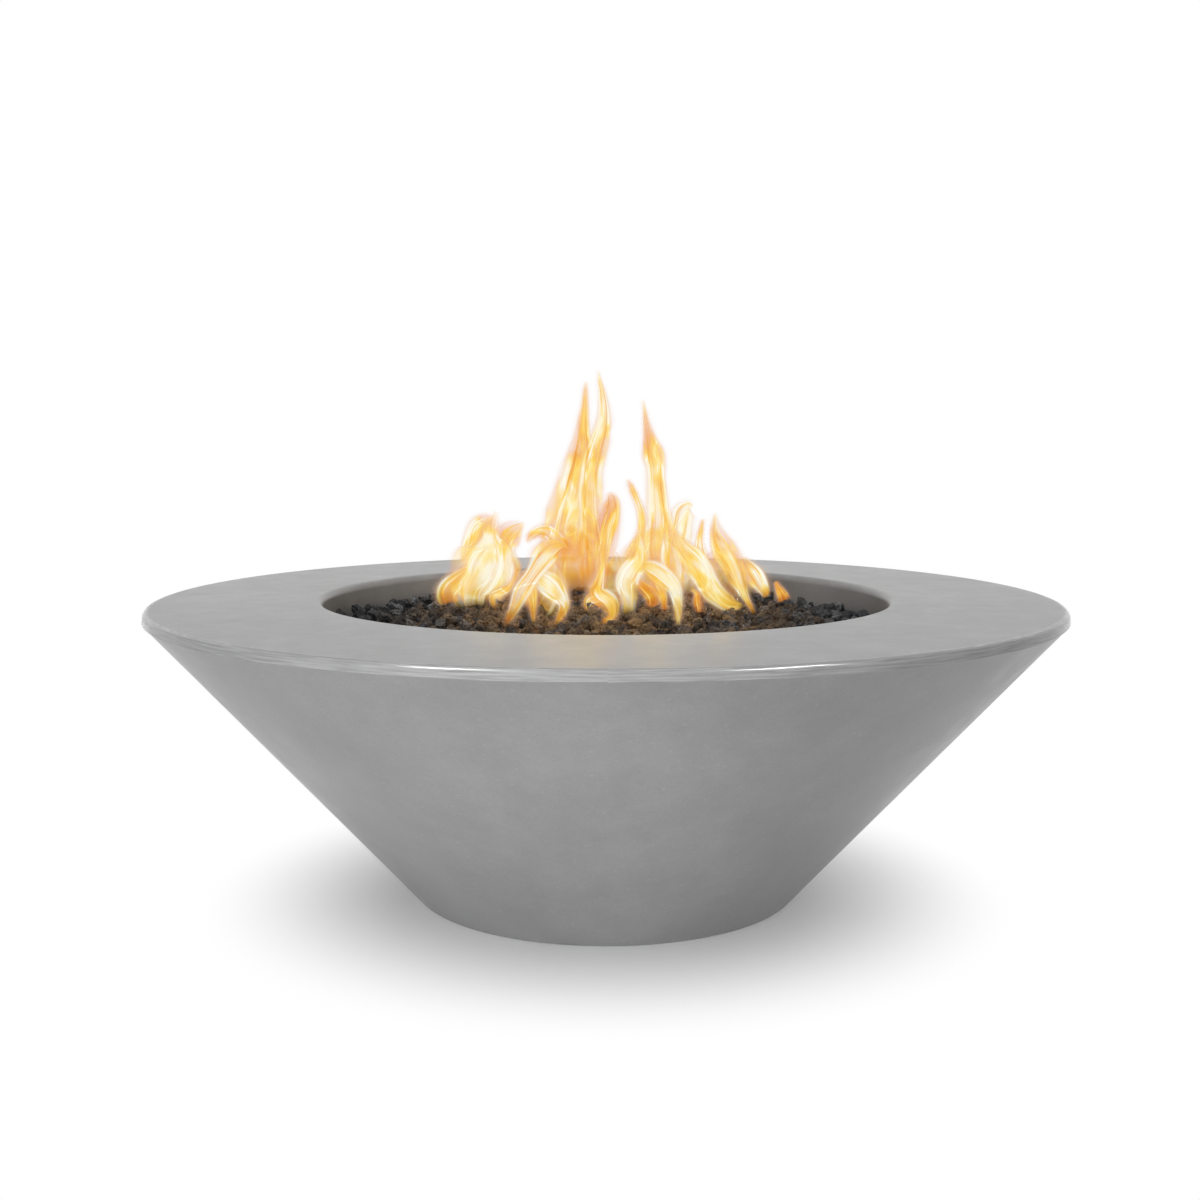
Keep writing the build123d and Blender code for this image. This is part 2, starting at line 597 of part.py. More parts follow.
def rock_points(chance):
    """Corners of one broken rock: two poles and two staggered rings, each corner pulled in by chance."""
    turn = 2 * math.pi / ROCK_SIDES
    upper = [(index * turn, ROCK_RING_SHARE) for index in range(ROCK_SIDES)]
    lower = [((index + 1 / 2) * turn, -ROCK_RING_SHARE) for index in range(ROCK_SIDES)]
    ring_radius = math.sqrt(1 - ROCK_RING_SHARE**2)
    corners = [(ring_radius * math.cos(a), ring_radius * math.sin(a), z) for a, z in upper + lower]
    corners = np.array(corners + [(0, 0, 1), (0, 0, -1)])
    corners = corners * chance.uniform(*ROCK_ROUGH_SHARES, len(corners))[:, None]
    corners[:, 2] *= ROCK_FLAT_SHARE
    return corners / np.hypot(corners[:, 0], corners[:, 1]).max()


def rock_solid(corners):
    """Closed solid on a rock's corners: fans at both poles and a band of triangles between the rings."""
    top, bottom = 2 * ROCK_SIDES, 2 * ROCK_SIDES + 1
    triangles = []
    for index in range(ROCK_SIDES):
        following = (index + 1) % ROCK_SIDES
        low, low_following = index + ROCK_SIDES, following + ROCK_SIDES
        triangles += [(top, index, following), (index, low, following)]
        triangles += [(following, low, low_following), (bottom, low_following, low)]
    points = [Vector(*corner) for corner in corners.tolist()]
    faces = [Face(Wire.make_polygon([points[i] for i in triangle])) for triangle in triangles]
    return Solid(Shell(faces))


def rock_places(chance):
    """Centres and radii of the top rocks: a close grid, each rock shifted by chance in its own cell."""
    pitch = 2 * (ROCK_RADIUS + ROCK_SHIFT) + ROCK_GAP
    rows = math.ceil(OPENING_RADIUS / pitch) + 1
    row, column = np.mgrid[-rows : rows + 1, -rows : rows + 1]
    x = (pitch * (column + row % 2 / 2)).ravel()
    y = (pitch * row * math.sqrt(3) / 2).ravel()
    radius = ROCK_RADIUS * chance.uniform(*ROCK_SIZE_SHARES, x.size)
    shift = (ROCK_SHIFT + ROCK_RADIUS - radius) * chance.random(x.size)
    angle = 2 * math.pi * chance.random(x.size)
    places = np.column_stack([x + shift * np.cos(angle), y + shift * np.sin(angle), radius])
    inside = np.hypot(places[:, 0], places[:, 1]) + radius < OPENING_RADIUS - ROCK_GAP
    return places[inside].tolist()


def lava_rocks():
    """Loose top layer: each rock lies on the packed rock, and none touches another."""
    chance = np.random.default_rng(ROCK_SEED)
    shapes = [rock_points(chance) for shape in range(ROCK_SHAPES)]
    rocks = []
    for index, (x, y, radius) in enumerate(rock_places(chance)):
        spin = 360 * chance.random()
        angle = math.radians(spin)
        corners = shapes[index % ROCK_SHAPES] * radius
        plan_x = x + corners[:, 0] * math.cos(angle) - corners[:, 1] * math.sin(angle)
        plan_y = y + corners[:, 0] * math.sin(angle) + corners[:, 1] * math.cos(angle)
        lift = (fill_height(np.hypot(plan_x, plan_y)) - corners[:, 2]).max() + ROCK_SEAT
        rocks.append(Pos(x, y, float(lift)) * Rot(0, 0, spin) * rock_solid(corners))
    return rocks


riser_at = Pos(0, 0, valve_z)
burner_flare_at = riser_at * ALONG_X * Pos(0, 0, elbow_leg)
valve_flare_at = valve_at * ALONG_X * Pos(0, 0, port_x)
upper_elbow_at = Pos(supply_x, valve_y, valve_z)
lower_elbow_at = Pos(supply_x, SUPPLY_DROP_Y, valve_z)
coupling_length = 2 * SOCKET_DEPTH + COUPLING_STOP
coupling_top_z = INLET_RISE + coupling_length

pan_gasket = pipe(PIPE_RADIUS + PAN_GASKET_WIDTH, socket_radius, gasket_z, pan_under_z)
pan_locknut = hexagon(PAN_LOCKNUT_FLATS, locknut_z, gasket_z) - rod(socket_radius, 0, pan_floor_z)
riser_nipple = pipe(
    PIPE_RADIUS, PIPE_BORE, valve_z + elbow_leg - SOCKET_DEPTH, pan_floor_z + SOCKET_DEPTH
)
inlet_nipple = pipe(PIPE_RADIUS, PIPE_BORE, port_x - SOCKET_DEPTH, port_x + NIPPLE_SHOW + SOCKET_DEPTH)
supply_length = valve_y - SUPPLY_DROP_Y - 2 * (elbow_leg - SOCKET_DEPTH)
supply_pipe = Pos(supply_x, SUPPLY_DROP_Y + elbow_leg - SOCKET_DEPTH, valve_z) * ALONG_Y * pipe(
    PIPE_RADIUS, PIPE_BORE, 0, supply_length
)
drop_pipe = Pos(supply_x, SUPPLY_DROP_Y, 0) * pipe(
    PIPE_RADIUS, PIPE_BORE, coupling_top_z - SOCKET_DEPTH, valve_z - elbow_leg + SOCKET_DEPTH
)
coupling_socket = rod(socket_radius, coupling_top_z - SOCKET_DEPTH, coupling_top_z + OVERRUN)
inlet_socket = rod(socket_radius, INLET_RISE - OVERRUN, INLET_RISE + SOCKET_DEPTH)
inlet_coupling = Pos(supply_x, SUPPLY_DROP_Y, 0) * (
    pipe(fitting_radius, PIPE_BORE, INLET_RISE, coupling_top_z) - coupling_socket - inlet_socket
)

pieces = {
    "concrete_bowl": concrete_bowl(),
    "burner_pan": burner_pan(),
    "outer_burner_ring": burner_ring(OUTER_RING_RADIUS, OUTER_PORT_COUNT, (-1,)),
    "inner_burner_ring": burner_ring(INNER_RING_RADIUS, INNER_PORT_COUNT, (-1, 1)),
    "inner_spokes": spokes(HUB_RADIUS - SPOKE_ENGAGEMENT + SLIP, INNER_RING_RADIUS, [INNER_RING_RADIUS]),
    "outer_spokes": spokes(INNER_RING_RADIUS, OUTER_RING_RADIUS, [INNER_RING_RADIUS, OUTER_RING_RADIUS]),
    "burner_hub": burner_hub(),
    "burner_feet": burner_feet(),
    "foot_screws": foot_screws(),
    "foot_nuts": foot_nuts(),
    "riser_nipple": riser_nipple,
    "pan_gasket": pan_gasket,
    "pan_locknut": pan_locknut,
    "riser_elbow": riser_at * elbow(),
    "burner_flare_fitting": burner_flare_at * flare_fitting(),
    "burner_flare_nut": burner_flare_at * flare_nut(),
    "feed_tube": feed_tube(),
    "valve_flare_nut": valve_flare_at * flare_nut(),
    "valve_flare_fitting": valve_flare_at * flare_fitting(),
    "valve_body": valve_body(),
    "valve_tailpiece": valve_tailpiece(),
    "valve_seats": valve_seats(),
    "valve_ball": valve_ball(),
    "valve_stem": valve_stem(),
    "stem_packing": stem_packing(),
    "packing_nut": packing_nut(),
    "valve_sleeve": valve_sleeve(),
    "sleeve_locknut": sleeve_locknut(),
    "escutcheon": escutcheon(),
    "key_shaft": key_shaft(),
    "key_handle": key_handle(),
    "inlet_nipple": valve_at * ALONG_MINUS_X * inlet_nipple,
    "upper_supply_elbow": upper_elbow_at * Rot(90, 0, 0) * elbow(),
    "supply_pipe": supply_pipe,
    "lower_supply_elbow": lower_elbow_at * Rot(0, 0, 90) * Rot(180, 0, 0) * elbow(),
    "drop_pipe": drop_pipe,
    "inlet_coupling": inlet_coupling,
    "lava_rock_fill": lava_rock_fill(),
    "lava_rocks": lava_rocks(),
}

os.makedirs("parts", exist_ok=True)
for node, shape in pieces.items():
    solids = shape if isinstance(shape, list) else [shape]
    export_step(Compound([solid for group in solids for solid in group.solids()]), f"parts/{node}.step")
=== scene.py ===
"""Looks of a round concrete fire pit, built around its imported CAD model. Metres, +Z up, key valve at +Y."""
import math

import bpy
import numpy as np
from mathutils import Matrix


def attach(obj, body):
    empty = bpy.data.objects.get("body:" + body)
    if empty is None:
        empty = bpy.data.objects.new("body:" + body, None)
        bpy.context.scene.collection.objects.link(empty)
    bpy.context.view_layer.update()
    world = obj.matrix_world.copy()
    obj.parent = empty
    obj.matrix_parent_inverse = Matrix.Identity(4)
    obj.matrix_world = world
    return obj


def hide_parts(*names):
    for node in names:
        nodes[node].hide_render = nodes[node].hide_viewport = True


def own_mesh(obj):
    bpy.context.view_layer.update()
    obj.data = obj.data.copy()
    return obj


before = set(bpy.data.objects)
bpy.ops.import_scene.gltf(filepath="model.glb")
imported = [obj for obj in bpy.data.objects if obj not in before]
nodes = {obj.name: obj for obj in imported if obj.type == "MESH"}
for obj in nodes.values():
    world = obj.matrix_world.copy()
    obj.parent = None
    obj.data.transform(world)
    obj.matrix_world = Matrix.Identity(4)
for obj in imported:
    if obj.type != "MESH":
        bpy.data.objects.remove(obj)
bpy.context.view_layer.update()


# Concrete bowl
# One glass-fibre concrete casting: a cone wall under a wide flat ledge, with a shelf inside for the pan.
# Cast upside down in a smooth mould, then sealed, so it is even grey with faint clouds and a soft gloss.
RIM_RADIUS = 0.6096
OPENING_RADIUS = 0.381
BASE_RADIUS = 0.260
TOP_Z = 0.4064
RIM_Z = 0.4034
BAND_Z = 0.3907
CONE_TOP_RADIUS = 0.6081
LEDGE_UNDER_Z = 0.3754
SHELF_Z = 0.3314
SHELF_UNDER_Z = 0.3074
SHELF_RADIUS = 0.345
COLLAR_RADIUS = 0.405
FLOOR_Z = 0.028
ACCESS_RADIUS = 0.100
WALL = 0.025
BOWL_SEGMENTS = 384
ARC_STEPS = 7
RUN_SHARES = np.array([0.012, 0.25, 0.5, 0.75, 0.988])
RIPPLE_WAVES = np.array([[23, 0.4, 0.00016], [41, 2.1, 0.00013], [67, 4.4, 0.00009], [112, 1.2, 0.00005]])
RIPPLE_START_RADIUS = 0.6005
RIPPLE_FADE = 0.008
RIPPLE_START_Z = 0.3912
RIPPLE_RISE = 0.003
RIPPLE_LEAN = 300
SMOOTH_ANGLE = 40
CLOUD_SIZE = 0.160
PATCH_SIZE = 0.035
GRAIN_SIZE = 0.003
FLECK_SPACING = 0.016
SEALER_EDGES = (0.010, 0.004)
BAND_EDGE = 0.001
WIPE_LENGTH = 0.060
WIPE_HEIGHT = 0.002

cone_slope = (CONE_TOP_RADIUS - BASE_RADIUS) / BAND_Z
cone_lean = math.atan(cone_slope)
wall_plan = WALL / math.cos(cone_lean)
bowl_corners = np.array([
    (ACCESS_RADIUS, 0, 0.005),
    (BASE_RADIUS, 0, 0.008),
    (CONE_TOP_RADIUS, BAND_Z, 0.0006),
    (RIM_RADIUS, BAND_Z, 0.0007),
    (RIM_RADIUS, RIM_Z, 0.0075),
    (OPENING_RADIUS, TOP_Z, 0.009),
    (OPENING_RADIUS, SHELF_Z, 0.0006),
    (SHELF_RADIUS, SHELF_Z, 0.003),
    (SHELF_RADIUS, SHELF_UNDER_Z, 0.003),
    (COLLAR_RADIUS, SHELF_UNDER_Z, 0.003),
    (COLLAR_RADIUS, LEDGE_UNDER_Z, 0.010),
    (BASE_RADIUS + LEDGE_UNDER_Z * cone_slope - wall_plan, LEDGE_UNDER_Z, 0.010),
    (BASE_RADIUS + FLOOR_Z * cone_slope - wall_plan, FLOOR_Z, 0.010),
    (ACCESS_RADIUS, FLOOR_Z, 0.005),
])


def linear(colour):
    """sRGB hex to linear RGBA: c / 12.92 for dark channels, else ((c + 0.055) / 1.055) to the power 2.4."""
    channel = np.array([int(colour[i:i + 2], 16) for i in (0, 2, 4)]) / 255
    return *np.where(channel <= 0.04045, channel / 12.92, ((channel + 0.055) / 1.055) ** 2.4).tolist(), 1.0


def add_node(tree, kind, settings=(), links=(), stops=()):
    """Adds a node, sets its properties or sockets, links its inputs, and fills its ramp with stops."""
    new = tree.nodes.new(kind)
    for key, value in dict(settings).items():
        if isinstance(key, int) or key in new.inputs:
            new.inputs[key].default_value = value
        else:
            setattr(new, key, value)
    for key, source in dict(links).items():
        tree.links.new(source, new.inputs[key])
    for index, (place, colour) in enumerate(stops):
        ramp = new.color_ramp.elements
        stop = ramp[index] if index < 2 else ramp.new(place)
        stop.position = place
        stop.color = linear(colour) if isinstance(colour, str) else (colour, colour, colour, 1.0)
    return new


def new_material(name, settings):
    """Material with one Principled shader, whose even values are set on its own sockets."""
    made = bpy.data.materials.new(name)
    made.use_nodes = True
    made.node_tree.nodes.clear()
    shader = add_node(made.node_tree, "ShaderNodeBsdfPrincipled", settings)
    add_node(made.node_tree, "ShaderNodeOutputMaterial", links={"Surface": shader.outputs[0]})
    return made, made.node_tree, shader


def grid_faces(rows, columns, wrap_rows, wrap_columns):
    """Quads over a grid of points: each goes along the columns first, then along the rows."""
    index = np.arange(rows * columns).reshape(rows, columns)
    if wrap_rows:
        index = np.vstack([index, index[:1]])
    if wrap_columns:
        index = np.hstack([index, index[:, :1]])
    quads = np.stack([index[:-1, :-1], index[:-1, 1:], index[1:, 1:], index[1:, :-1]], axis=-1)
    return quads.reshape(-1, 4)


def add_piece(name, points, faces, material, smooth_angle=SMOOTH_ANGLE):
    """Mesh object at the origin, smooth but for edges sharper than smooth_angle degrees."""
    mesh = bpy.data.meshes.new(name)
    mesh.from_pydata(points.reshape(-1, 3).tolist(), [], faces.tolist())
    mesh.materials.append(material)
    mesh.shade_smooth()
    mesh.set_sharp_from_angle(angle=math.radians(smooth_angle))
    piece = bpy.data.objects.new(name, mesh)
    bpy.context.collection.objects.link(piece)
    return piece


def rounded_profile(corners):
    """Closed outline of (radius, height, round) corners: tangent arcs, and points along each straight run."""
    point, size = corners[:, :2], corners[:, 2:]
    before = np.roll(point, 1, 0) - point
    after = np.roll(point, -1, 0) - point
    before /= np.linalg.norm(before, axis=1, keepdims=True)
    after /= np.linalg.norm(after, axis=1, keepdims=True)
    half = np.arccos((before * after).sum(1, keepdims=True)) / 2
    middle = (before + after) / np.linalg.norm(before + after, axis=1, keepdims=True)
    centre = point + middle * size / np.sin(half)
    start = point + before * size / np.tan(half) - centre
    end = point + after * size / np.tan(half) - centre
    turn = (np.pi - 2 * half)[:, None]
    share = np.linspace(0, 1, ARC_STEPS)[None, :, None]
    arcs = np.sin((1 - share) * turn) * start[:, None] + np.sin(share * turn) * end[:, None]
    arcs = centre[:, None] + arcs / np.sin(turn)
    runs = arcs[:, -1:] + RUN_SHARES[:, None] * (np.roll(arcs, -1, 0)[:, :1] - arcs[:, -1:])
    return np.concatenate([arcs, runs], axis=1).reshape(-1, 2)


def turned(profile, segments):
    """Surface of revolution: (r cos a, r sin a, z) for each profile point and each angle."""
    angle = np.linspace(0, 2 * np.pi, segments, endpoint=False)
    radius, height = profile[:, :1], profile[:, 1:]
    return np.stack([radius * np.cos(angle), radius * np.sin(angle), height + 0 * angle], axis=-1)


def rim_ripple(points):
    """Hand-finished waviness of the rim band: a sum of cosines round the rim, faded in at its edges."""
    radius = np.hypot(points[..., 0], points[..., 1])
    angle = np.arctan2(points[..., 1], points[..., 0])
    on_band = np.clip((radius - RIPPLE_START_RADIUS) / RIPPLE_FADE, 0, 1)
    on_band = on_band * np.clip((points[..., 2] - RIPPLE_START_Z) / RIPPLE_RISE, 0, 1)
    waves, phases, heights = RIPPLE_WAVES.T
    ripple = (heights * np.cos(waves * angle[..., None] + phases + RIPPLE_LEAN * points[..., 2:])).sum(-1)
    inward = np.abs(heights).sum() - ripple
    return points[..., :2] * (1 - on_band * inward / radius)[..., None]


sealed_concrete, tree, shader = new_material(
    "sealed_cast_concrete",
    {"IOR": 1.5, "Specular IOR Level": 0.25, "Coat Weight": 0.12, "Coat Roughness": 0.13, "Coat IOR": 1.45},
)
# Clouds 160 mm and 35 mm across, 3 mm sand grain, and sparse pale flecks 5 mm across where the fibre shows
place = add_node(tree, "ShaderNodeTexCoord").outputs["Object"]
clouds = add_node(tree, "ShaderNodeTexNoise", {"Scale": 1 / CLOUD_SIZE, "Detail": 3.0, "Roughness": 0.55},
                  {"Vector": place})
patches = add_node(tree, "ShaderNodeTexNoise", {"Scale": 1 / PATCH_SIZE, "Detail": 4.0, "Roughness": 0.6},
                   {"Vector": place})
grain = add_node(tree, "ShaderNodeTexNoise", {"Scale": 1 / GRAIN_SIZE, "Detail": 2.0}, {"Vector": place})
fleck_cells = add_node(tree, "ShaderNodeTexVoronoi", {"Scale": 1 / FLECK_SPACING, "Randomness": 1.0},
                       {"Vector": place})
cloud_grey = add_node(tree, "ShaderNodeValToRGB", links={"Fac": clouds.outputs[0]},
                      stops=[(0.3, "969696"), (0.7, "A0A0A0")])
patch_share = add_node(tree, "ShaderNodeValToRGB", links={"Fac": patches.outputs[0]},
                       stops=[(0.35, 0.93), (0.65, 1.0)])
grain_share = add_node(tree, "ShaderNodeValToRGB", links={"Fac": grain.outputs[0]},
                       stops=[(0.3, 0.93), (0.7, 1.0)])
fleck_share = add_node(tree, "ShaderNodeValToRGB", links={"Fac": fleck_cells.outputs["Distance"]},
                       stops=[(0.06, 0.12), (0.16, 0.0)])
patched = add_node(tree, "ShaderNodeMix", {"data_type": "RGBA", "blend_type": "MULTIPLY", 0: 1.0},
                   {6: cloud_grey.outputs[0], 7: patch_share.outputs[0]})
grained = add_node(tree, "ShaderNodeMix", {"data_type": "RGBA", "blend_type": "MULTIPLY", 0: 1.0},
                   {6: patched.outputs[2], 7: grain_share.outputs[0]})
flecked = add_node(tree, "ShaderNodeMix", {"data_type": "RGBA", 7: linear("C4C4C4")},
                   {0: fleck_share.outputs[0], 6: grained.outputs[2]})
gloss = add_node(tree, "ShaderNodeValToRGB", links={"Fac": patches.outputs[0]},
                 stops=[(0.3, 0.3), (0.7, 0.42)])
# The sealer gathers on the rim, so the last 10 mm of the ledge and the band are glossier
axes = add_node(tree, "ShaderNodeSeparateXYZ", links={0: place})
plan = add_node(tree, "ShaderNodeCombineXYZ", links={0: axes.outputs[0], 1: axes.outputs[1]})
from_axis = add_node(tree, "ShaderNodeVectorMath", {"operation": "LENGTH"}, {0: plan.outputs[0]})
near_rim = add_node(tree, "ShaderNodeMapRange",
                    {"From Min": RIM_RADIUS - SEALER_EDGES[0], "From Max": RIM_RADIUS - SEALER_EDGES[1]},
                    {"Value": from_axis.outputs["Value"]})
on_band = add_node(tree, "ShaderNodeMapRange",
                   {"From Min": BAND_Z - BAND_EDGE, "From Max": BAND_Z + BAND_EDGE},
                   {"Value": axes.outputs[2]})
rim_share = add_node(tree, "ShaderNodeMath", {"operation": "MULTIPLY"},
                     {0: near_rim.outputs[0], 1: on_band.outputs[0]})
# Sealer wiped along the rim leaves pale streaks 60 mm long and 2 mm high
angle = add_node(tree, "ShaderNodeMath", {"operation": "ARCTAN2"}, {0: axes.outputs[0], 1: axes.outputs[1]})
wipe_place = add_node(tree, "ShaderNodeCombineXYZ", links={0: angle.outputs[0], 2: axes.outputs[2]})
wipe_size = add_node(tree, "ShaderNodeMapping", {"Scale": (RIM_RADIUS / WIPE_LENGTH, 1, 1 / WIPE_HEIGHT)},
                     {"Vector": wipe_place.outputs[0]})
wipes = add_node(tree, "ShaderNodeTexNoise", {"Scale": 1.0, "Detail": 3.0}, {"Vector": wipe_size.outputs[0]})
wipe_gloss = add_node(tree, "ShaderNodeValToRGB", links={"Fac": wipes.outputs[0]},
                      stops=[(0.4, 0.07), (0.68, 0.26)])
wipe_grey = add_node(tree, "ShaderNodeValToRGB", links={"Fac": wipes.outputs[0]},
                     stops=[(0.35, "969696"), (0.65, "B0B0B0")])
sealed_grey = add_node(tree, "ShaderNodeMix", {"data_type": "RGBA"},
                       {0: rim_share.outputs[0], 6: flecked.outputs[2], 7: wipe_grey.outputs[0]})
sealed_gloss = add_node(tree, "ShaderNodeMix",
                        links={0: rim_share.outputs[0], 2: gloss.outputs[0], 3: wipe_gloss.outputs[0]})
tree.links.new(sealed_grey.outputs[2], shader.inputs["Base Color"])
tree.links.new(sealed_gloss.outputs[0], shader.inputs["Roughness"])
trowel_bump = add_node(tree, "ShaderNodeBump", {"Strength": 0.35, "Distance": 0.0012},
                       {"Height": patches.outputs[0]})
grain_bump = add_node(tree, "ShaderNodeBump", {"Strength": 0.25, "Distance": 0.00025},
                      {"Height": grain.outputs[0], "Normal": trowel_bump.outputs[0]})
tree.links.new(grain_bump.outputs[0], shader.inputs["Normal"])

bowl_points = turned(rounded_profile(bowl_corners), BOWL_SEGMENTS)
bowl_points[..., :2] = rim_ripple(bowl_points)
concrete_bowl = add_piece(
    "cast_concrete_bowl", bowl_points, grid_faces(*bowl_points.shape[:2], True, True), sealed_concrete)

# The wall hole for the valve sleeve, with a flat spot each side, is cut square to the cone at the back
VALVE_HEIGHT = 0.150
SPOT_DEPTH = 0.0015
OUTER_SPOT_RADIUS = 0.035
INNER_SPOT_RADIUS = 0.02525
SLEEVE_HOLE_RADIUS = 0.01555
CUT_OVERRUN = 0.005
HOLE_POLE_RADIUS = 1e-5
HOLE_SEGMENTS = 64

wall_frame = np.array([
    (1, 0, 0),
    (0, -math.sin(cone_lean), -math.cos(cone_lean)),
    (0, math.cos(cone_lean), -math.sin(cone_lean)),
])
wall_origin = np.array([0, BASE_RADIUS + VALVE_HEIGHT * cone_slope, VALVE_HEIGHT])
hole_profile = np.array([
    (HOLE_POLE_RADIUS, -WALL - CUT_OVERRUN),
    (INNER_SPOT_RADIUS, -WALL - CUT_OVERRUN),
    (INNER_SPOT_RADIUS, SPOT_DEPTH - WALL),
    (SLEEVE_HOLE_RADIUS, SPOT_DEPTH - WALL),
    (SLEEVE_HOLE_RADIUS, -SPOT_DEPTH),
    (OUTER_SPOT_RADIUS, -SPOT_DEPTH),
    (OUTER_SPOT_RADIUS, CUT_OVERRUN),
    (HOLE_POLE_RADIUS, CUT_OVERRUN),
])
hole_points = turned(hole_profile, HOLE_SEGMENTS) @ wall_frame + wall_origin
hole_cutter = add_piece("hole_cutter", hole_points, grid_faces(*hole_points.shape[:2], True, True),
                        sealed_concrete)
drill = concrete_bowl.modifiers.new("valve_hole", "BOOLEAN")
drill.object = hole_cutter
drilled = bpy.data.meshes.new_from_object(concrete_bowl.evaluated_get(bpy.context.evaluated_depsgraph_get()))
concrete_bowl.modifiers.clear()
concrete_bowl.data = drilled
bpy.data.objects.remove(hole_cutter)
drilled.shade_smooth()
drilled.set_sharp_from_angle(angle=math.radians(SMOOTH_ANGLE))
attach(concrete_bowl, "fire_pit")
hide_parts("concrete_bowl")


# Burner pan and ring burner
# Stainless sheet and tube: a pressed pan on the shelf, and two drilled rings on spokes, screwed to the pan.
# Brushed when made, then tinted straw by heat, so it shows fine scratches and warm patches.
TINT_SIZE = 0.060
BRUSH_WIDTH = 0.0015
BRUSH_LENGTH = 0.040


def finish_nodes(material, *names):
    """Gives CAD nodes a material, in each slot of their objects."""
    for name in names:
        for slot in nodes[name].material_slots:
            slot.material = material


heated_stainless, tree, shader = new_material("heat_tinted_stainless", {"Metallic": 1.0, "Anisotropic": 0.3})
place = add_node(tree, "ShaderNodeTexCoord").outputs["Object"]
tint = add_node(tree, "ShaderNodeTexNoise", {"Scale": 1 / TINT_SIZE, "Detail": 3.0}, {"Vector": place})
tint_colour = add_node(tree, "ShaderNodeValToRGB", links={"Fac": tint.outputs[0]},
                       stops=[(0.35, "A8A5A0"), (0.7, "8F7F68")])
brush_lines = add_node(tree, "ShaderNodeMapping",
                       {"Scale": (1 / BRUSH_WIDTH, 1 / BRUSH_LENGTH, 1 / BRUSH_WIDTH)}, {"Vector": place})
scratches = add_node(tree, "ShaderNodeTexNoise", {"Scale": 1.0, "Detail": 2.0},
                     {"Vector": brush_lines.outputs[0]})
scratch_gloss = add_node(tree, "ShaderNodeValToRGB", links={"Fac": scratches.outputs[0]},
                         stops=[(0.3, 0.28), (0.7, 0.42)])
tree.links.new(tint_colour.outputs[0], shader.inputs["Base Color"])
tree.links.new(scratch_gloss.outputs[0], shader.inputs["Roughness"])
finish_nodes(heated_stainless, "burner_pan", "outer_burner_ring", "inner_burner_ring", "inner_spokes",
             "outer_spokes", "burner_hub", "burner_feet", "foot_screws", "foot_nuts")


# Lava rock
# Crushed volcanic rock, 13 to 25 mm, poured into the pan over the burner and heaped a little to the middle.
# Broken faces full of gas bubbles: charcoal to brown-black, dull, with pits 2 to 4 mm across.
FILL_EDGE_Z = 0.3544
FILL_CROWN = 0.010
ROCK_SEED = 23
ROCK_PITCH = 0.0190
ROCK_RADIUS = 0.0108
ROCK_SIZE_SHARES = (0.74, 1.12)
ROCK_STRETCH_SHARES = (0.72, 1.12)
ROCK_LUMP_SHARE = 0.3
ROCK_WAVE = 2.6
ROCK_SMOOTH_ANGLE = 14
CHIP_COUNT = 9
CHIP_SHARES = (0.46, 0.8)
ROUGH_SHARES = (0.86, 1.10)
TOP_LAYER_SHARE = 0.42
TOP_LAYER_LIFT = 0.0090
ROCK_SINK = 0.0005
WALL_GAP = 0.003
PAINTED_FLAME_LIGHT_RADII = (0.12, 0.32)
PAINTED_FLAME_LIGHT_SHARES = (0.05, 1.0)
TONE_POWER = 1.6
ASH_SIZE = 0.008
PIT_SPACING = 0.0042


def fill_height(radius):
    """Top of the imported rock: a low cone, FILL_CROWN higher in the middle than at the wall."""
    return FILL_EDGE_Z + FILL_CROWN * (1 - radius / OPENING_RADIUS)


def ball_of_triangles():
    """Unit sphere of 80 triangles: an icosahedron with each edge halved and the halves pushed out."""
    golden = (1 + math.sqrt(5)) / 2
    corners = np.array([(a, b * golden, 0) for a in (-1, 1) for b in (-1, 1)], dtype=float)
    corners = np.concatenate([corners, corners[:, [2, 0, 1]], corners[:, [1, 2, 0]]])
    # Corners that share an edge are 2 apart
    near = np.isclose(np.linalg.norm(corners[:, None] - corners[None], axis=-1), 2)
    triple = np.argwhere(near[:, :, None] & near[:, None, :] & near[None, :, :])
    triple = triple[(triple[:, 0] < triple[:, 1]) & (triple[:, 1] < triple[:, 2])]
    first, second, third = (corners[triple[:, step]] for step in range(3))
    inside_out = (np.cross(second - first, third - first) * first).sum(1) < 0
    triple[inside_out] = triple[inside_out][:, ::-1]
    edges = np.sort(np.stack([triple, np.roll(triple, -1, 1)], axis=-1).reshape(-1, 2), axis=1)
    edge_list, edge_of = np.unique(edges, axis=0, return_inverse=True)
    middle = edge_of.reshape(-1, 3) + len(corners)
    points = np.concatenate([corners, corners[edge_list].mean(1)])
    a, b, c = triple.T
    ab, bc, ca = middle.T
    quarters = ((a, ab, ca), (b, bc, ab), (c, ca, bc), (ab, bc, ca))
    faces = np.concatenate([np.stack(quarter, 1) for quarter in quarters])
    return points / np.linalg.norm(points, axis=1, keepdims=True), faces


def rock_layer(pitch, keep_share, chance):
    """Centres on a close grid of triangles over the opening, each moved by chance, up to a third of pitch."""
    rows = math.ceil(OPENING_RADIUS / pitch) + 1
    row, column = np.mgrid[-rows:rows + 1, -rows:rows + 1]
    spot = np.stack([pitch * (column + row % 2 / 2), pitch * row * math.sqrt(3) / 2], axis=-1).reshape(-1, 2)
    spot = spot + pitch * chance.uniform(-1 / 3, 1 / 3, spot.shape)
    return spot[chance.random(len(spot)) < keep_share]


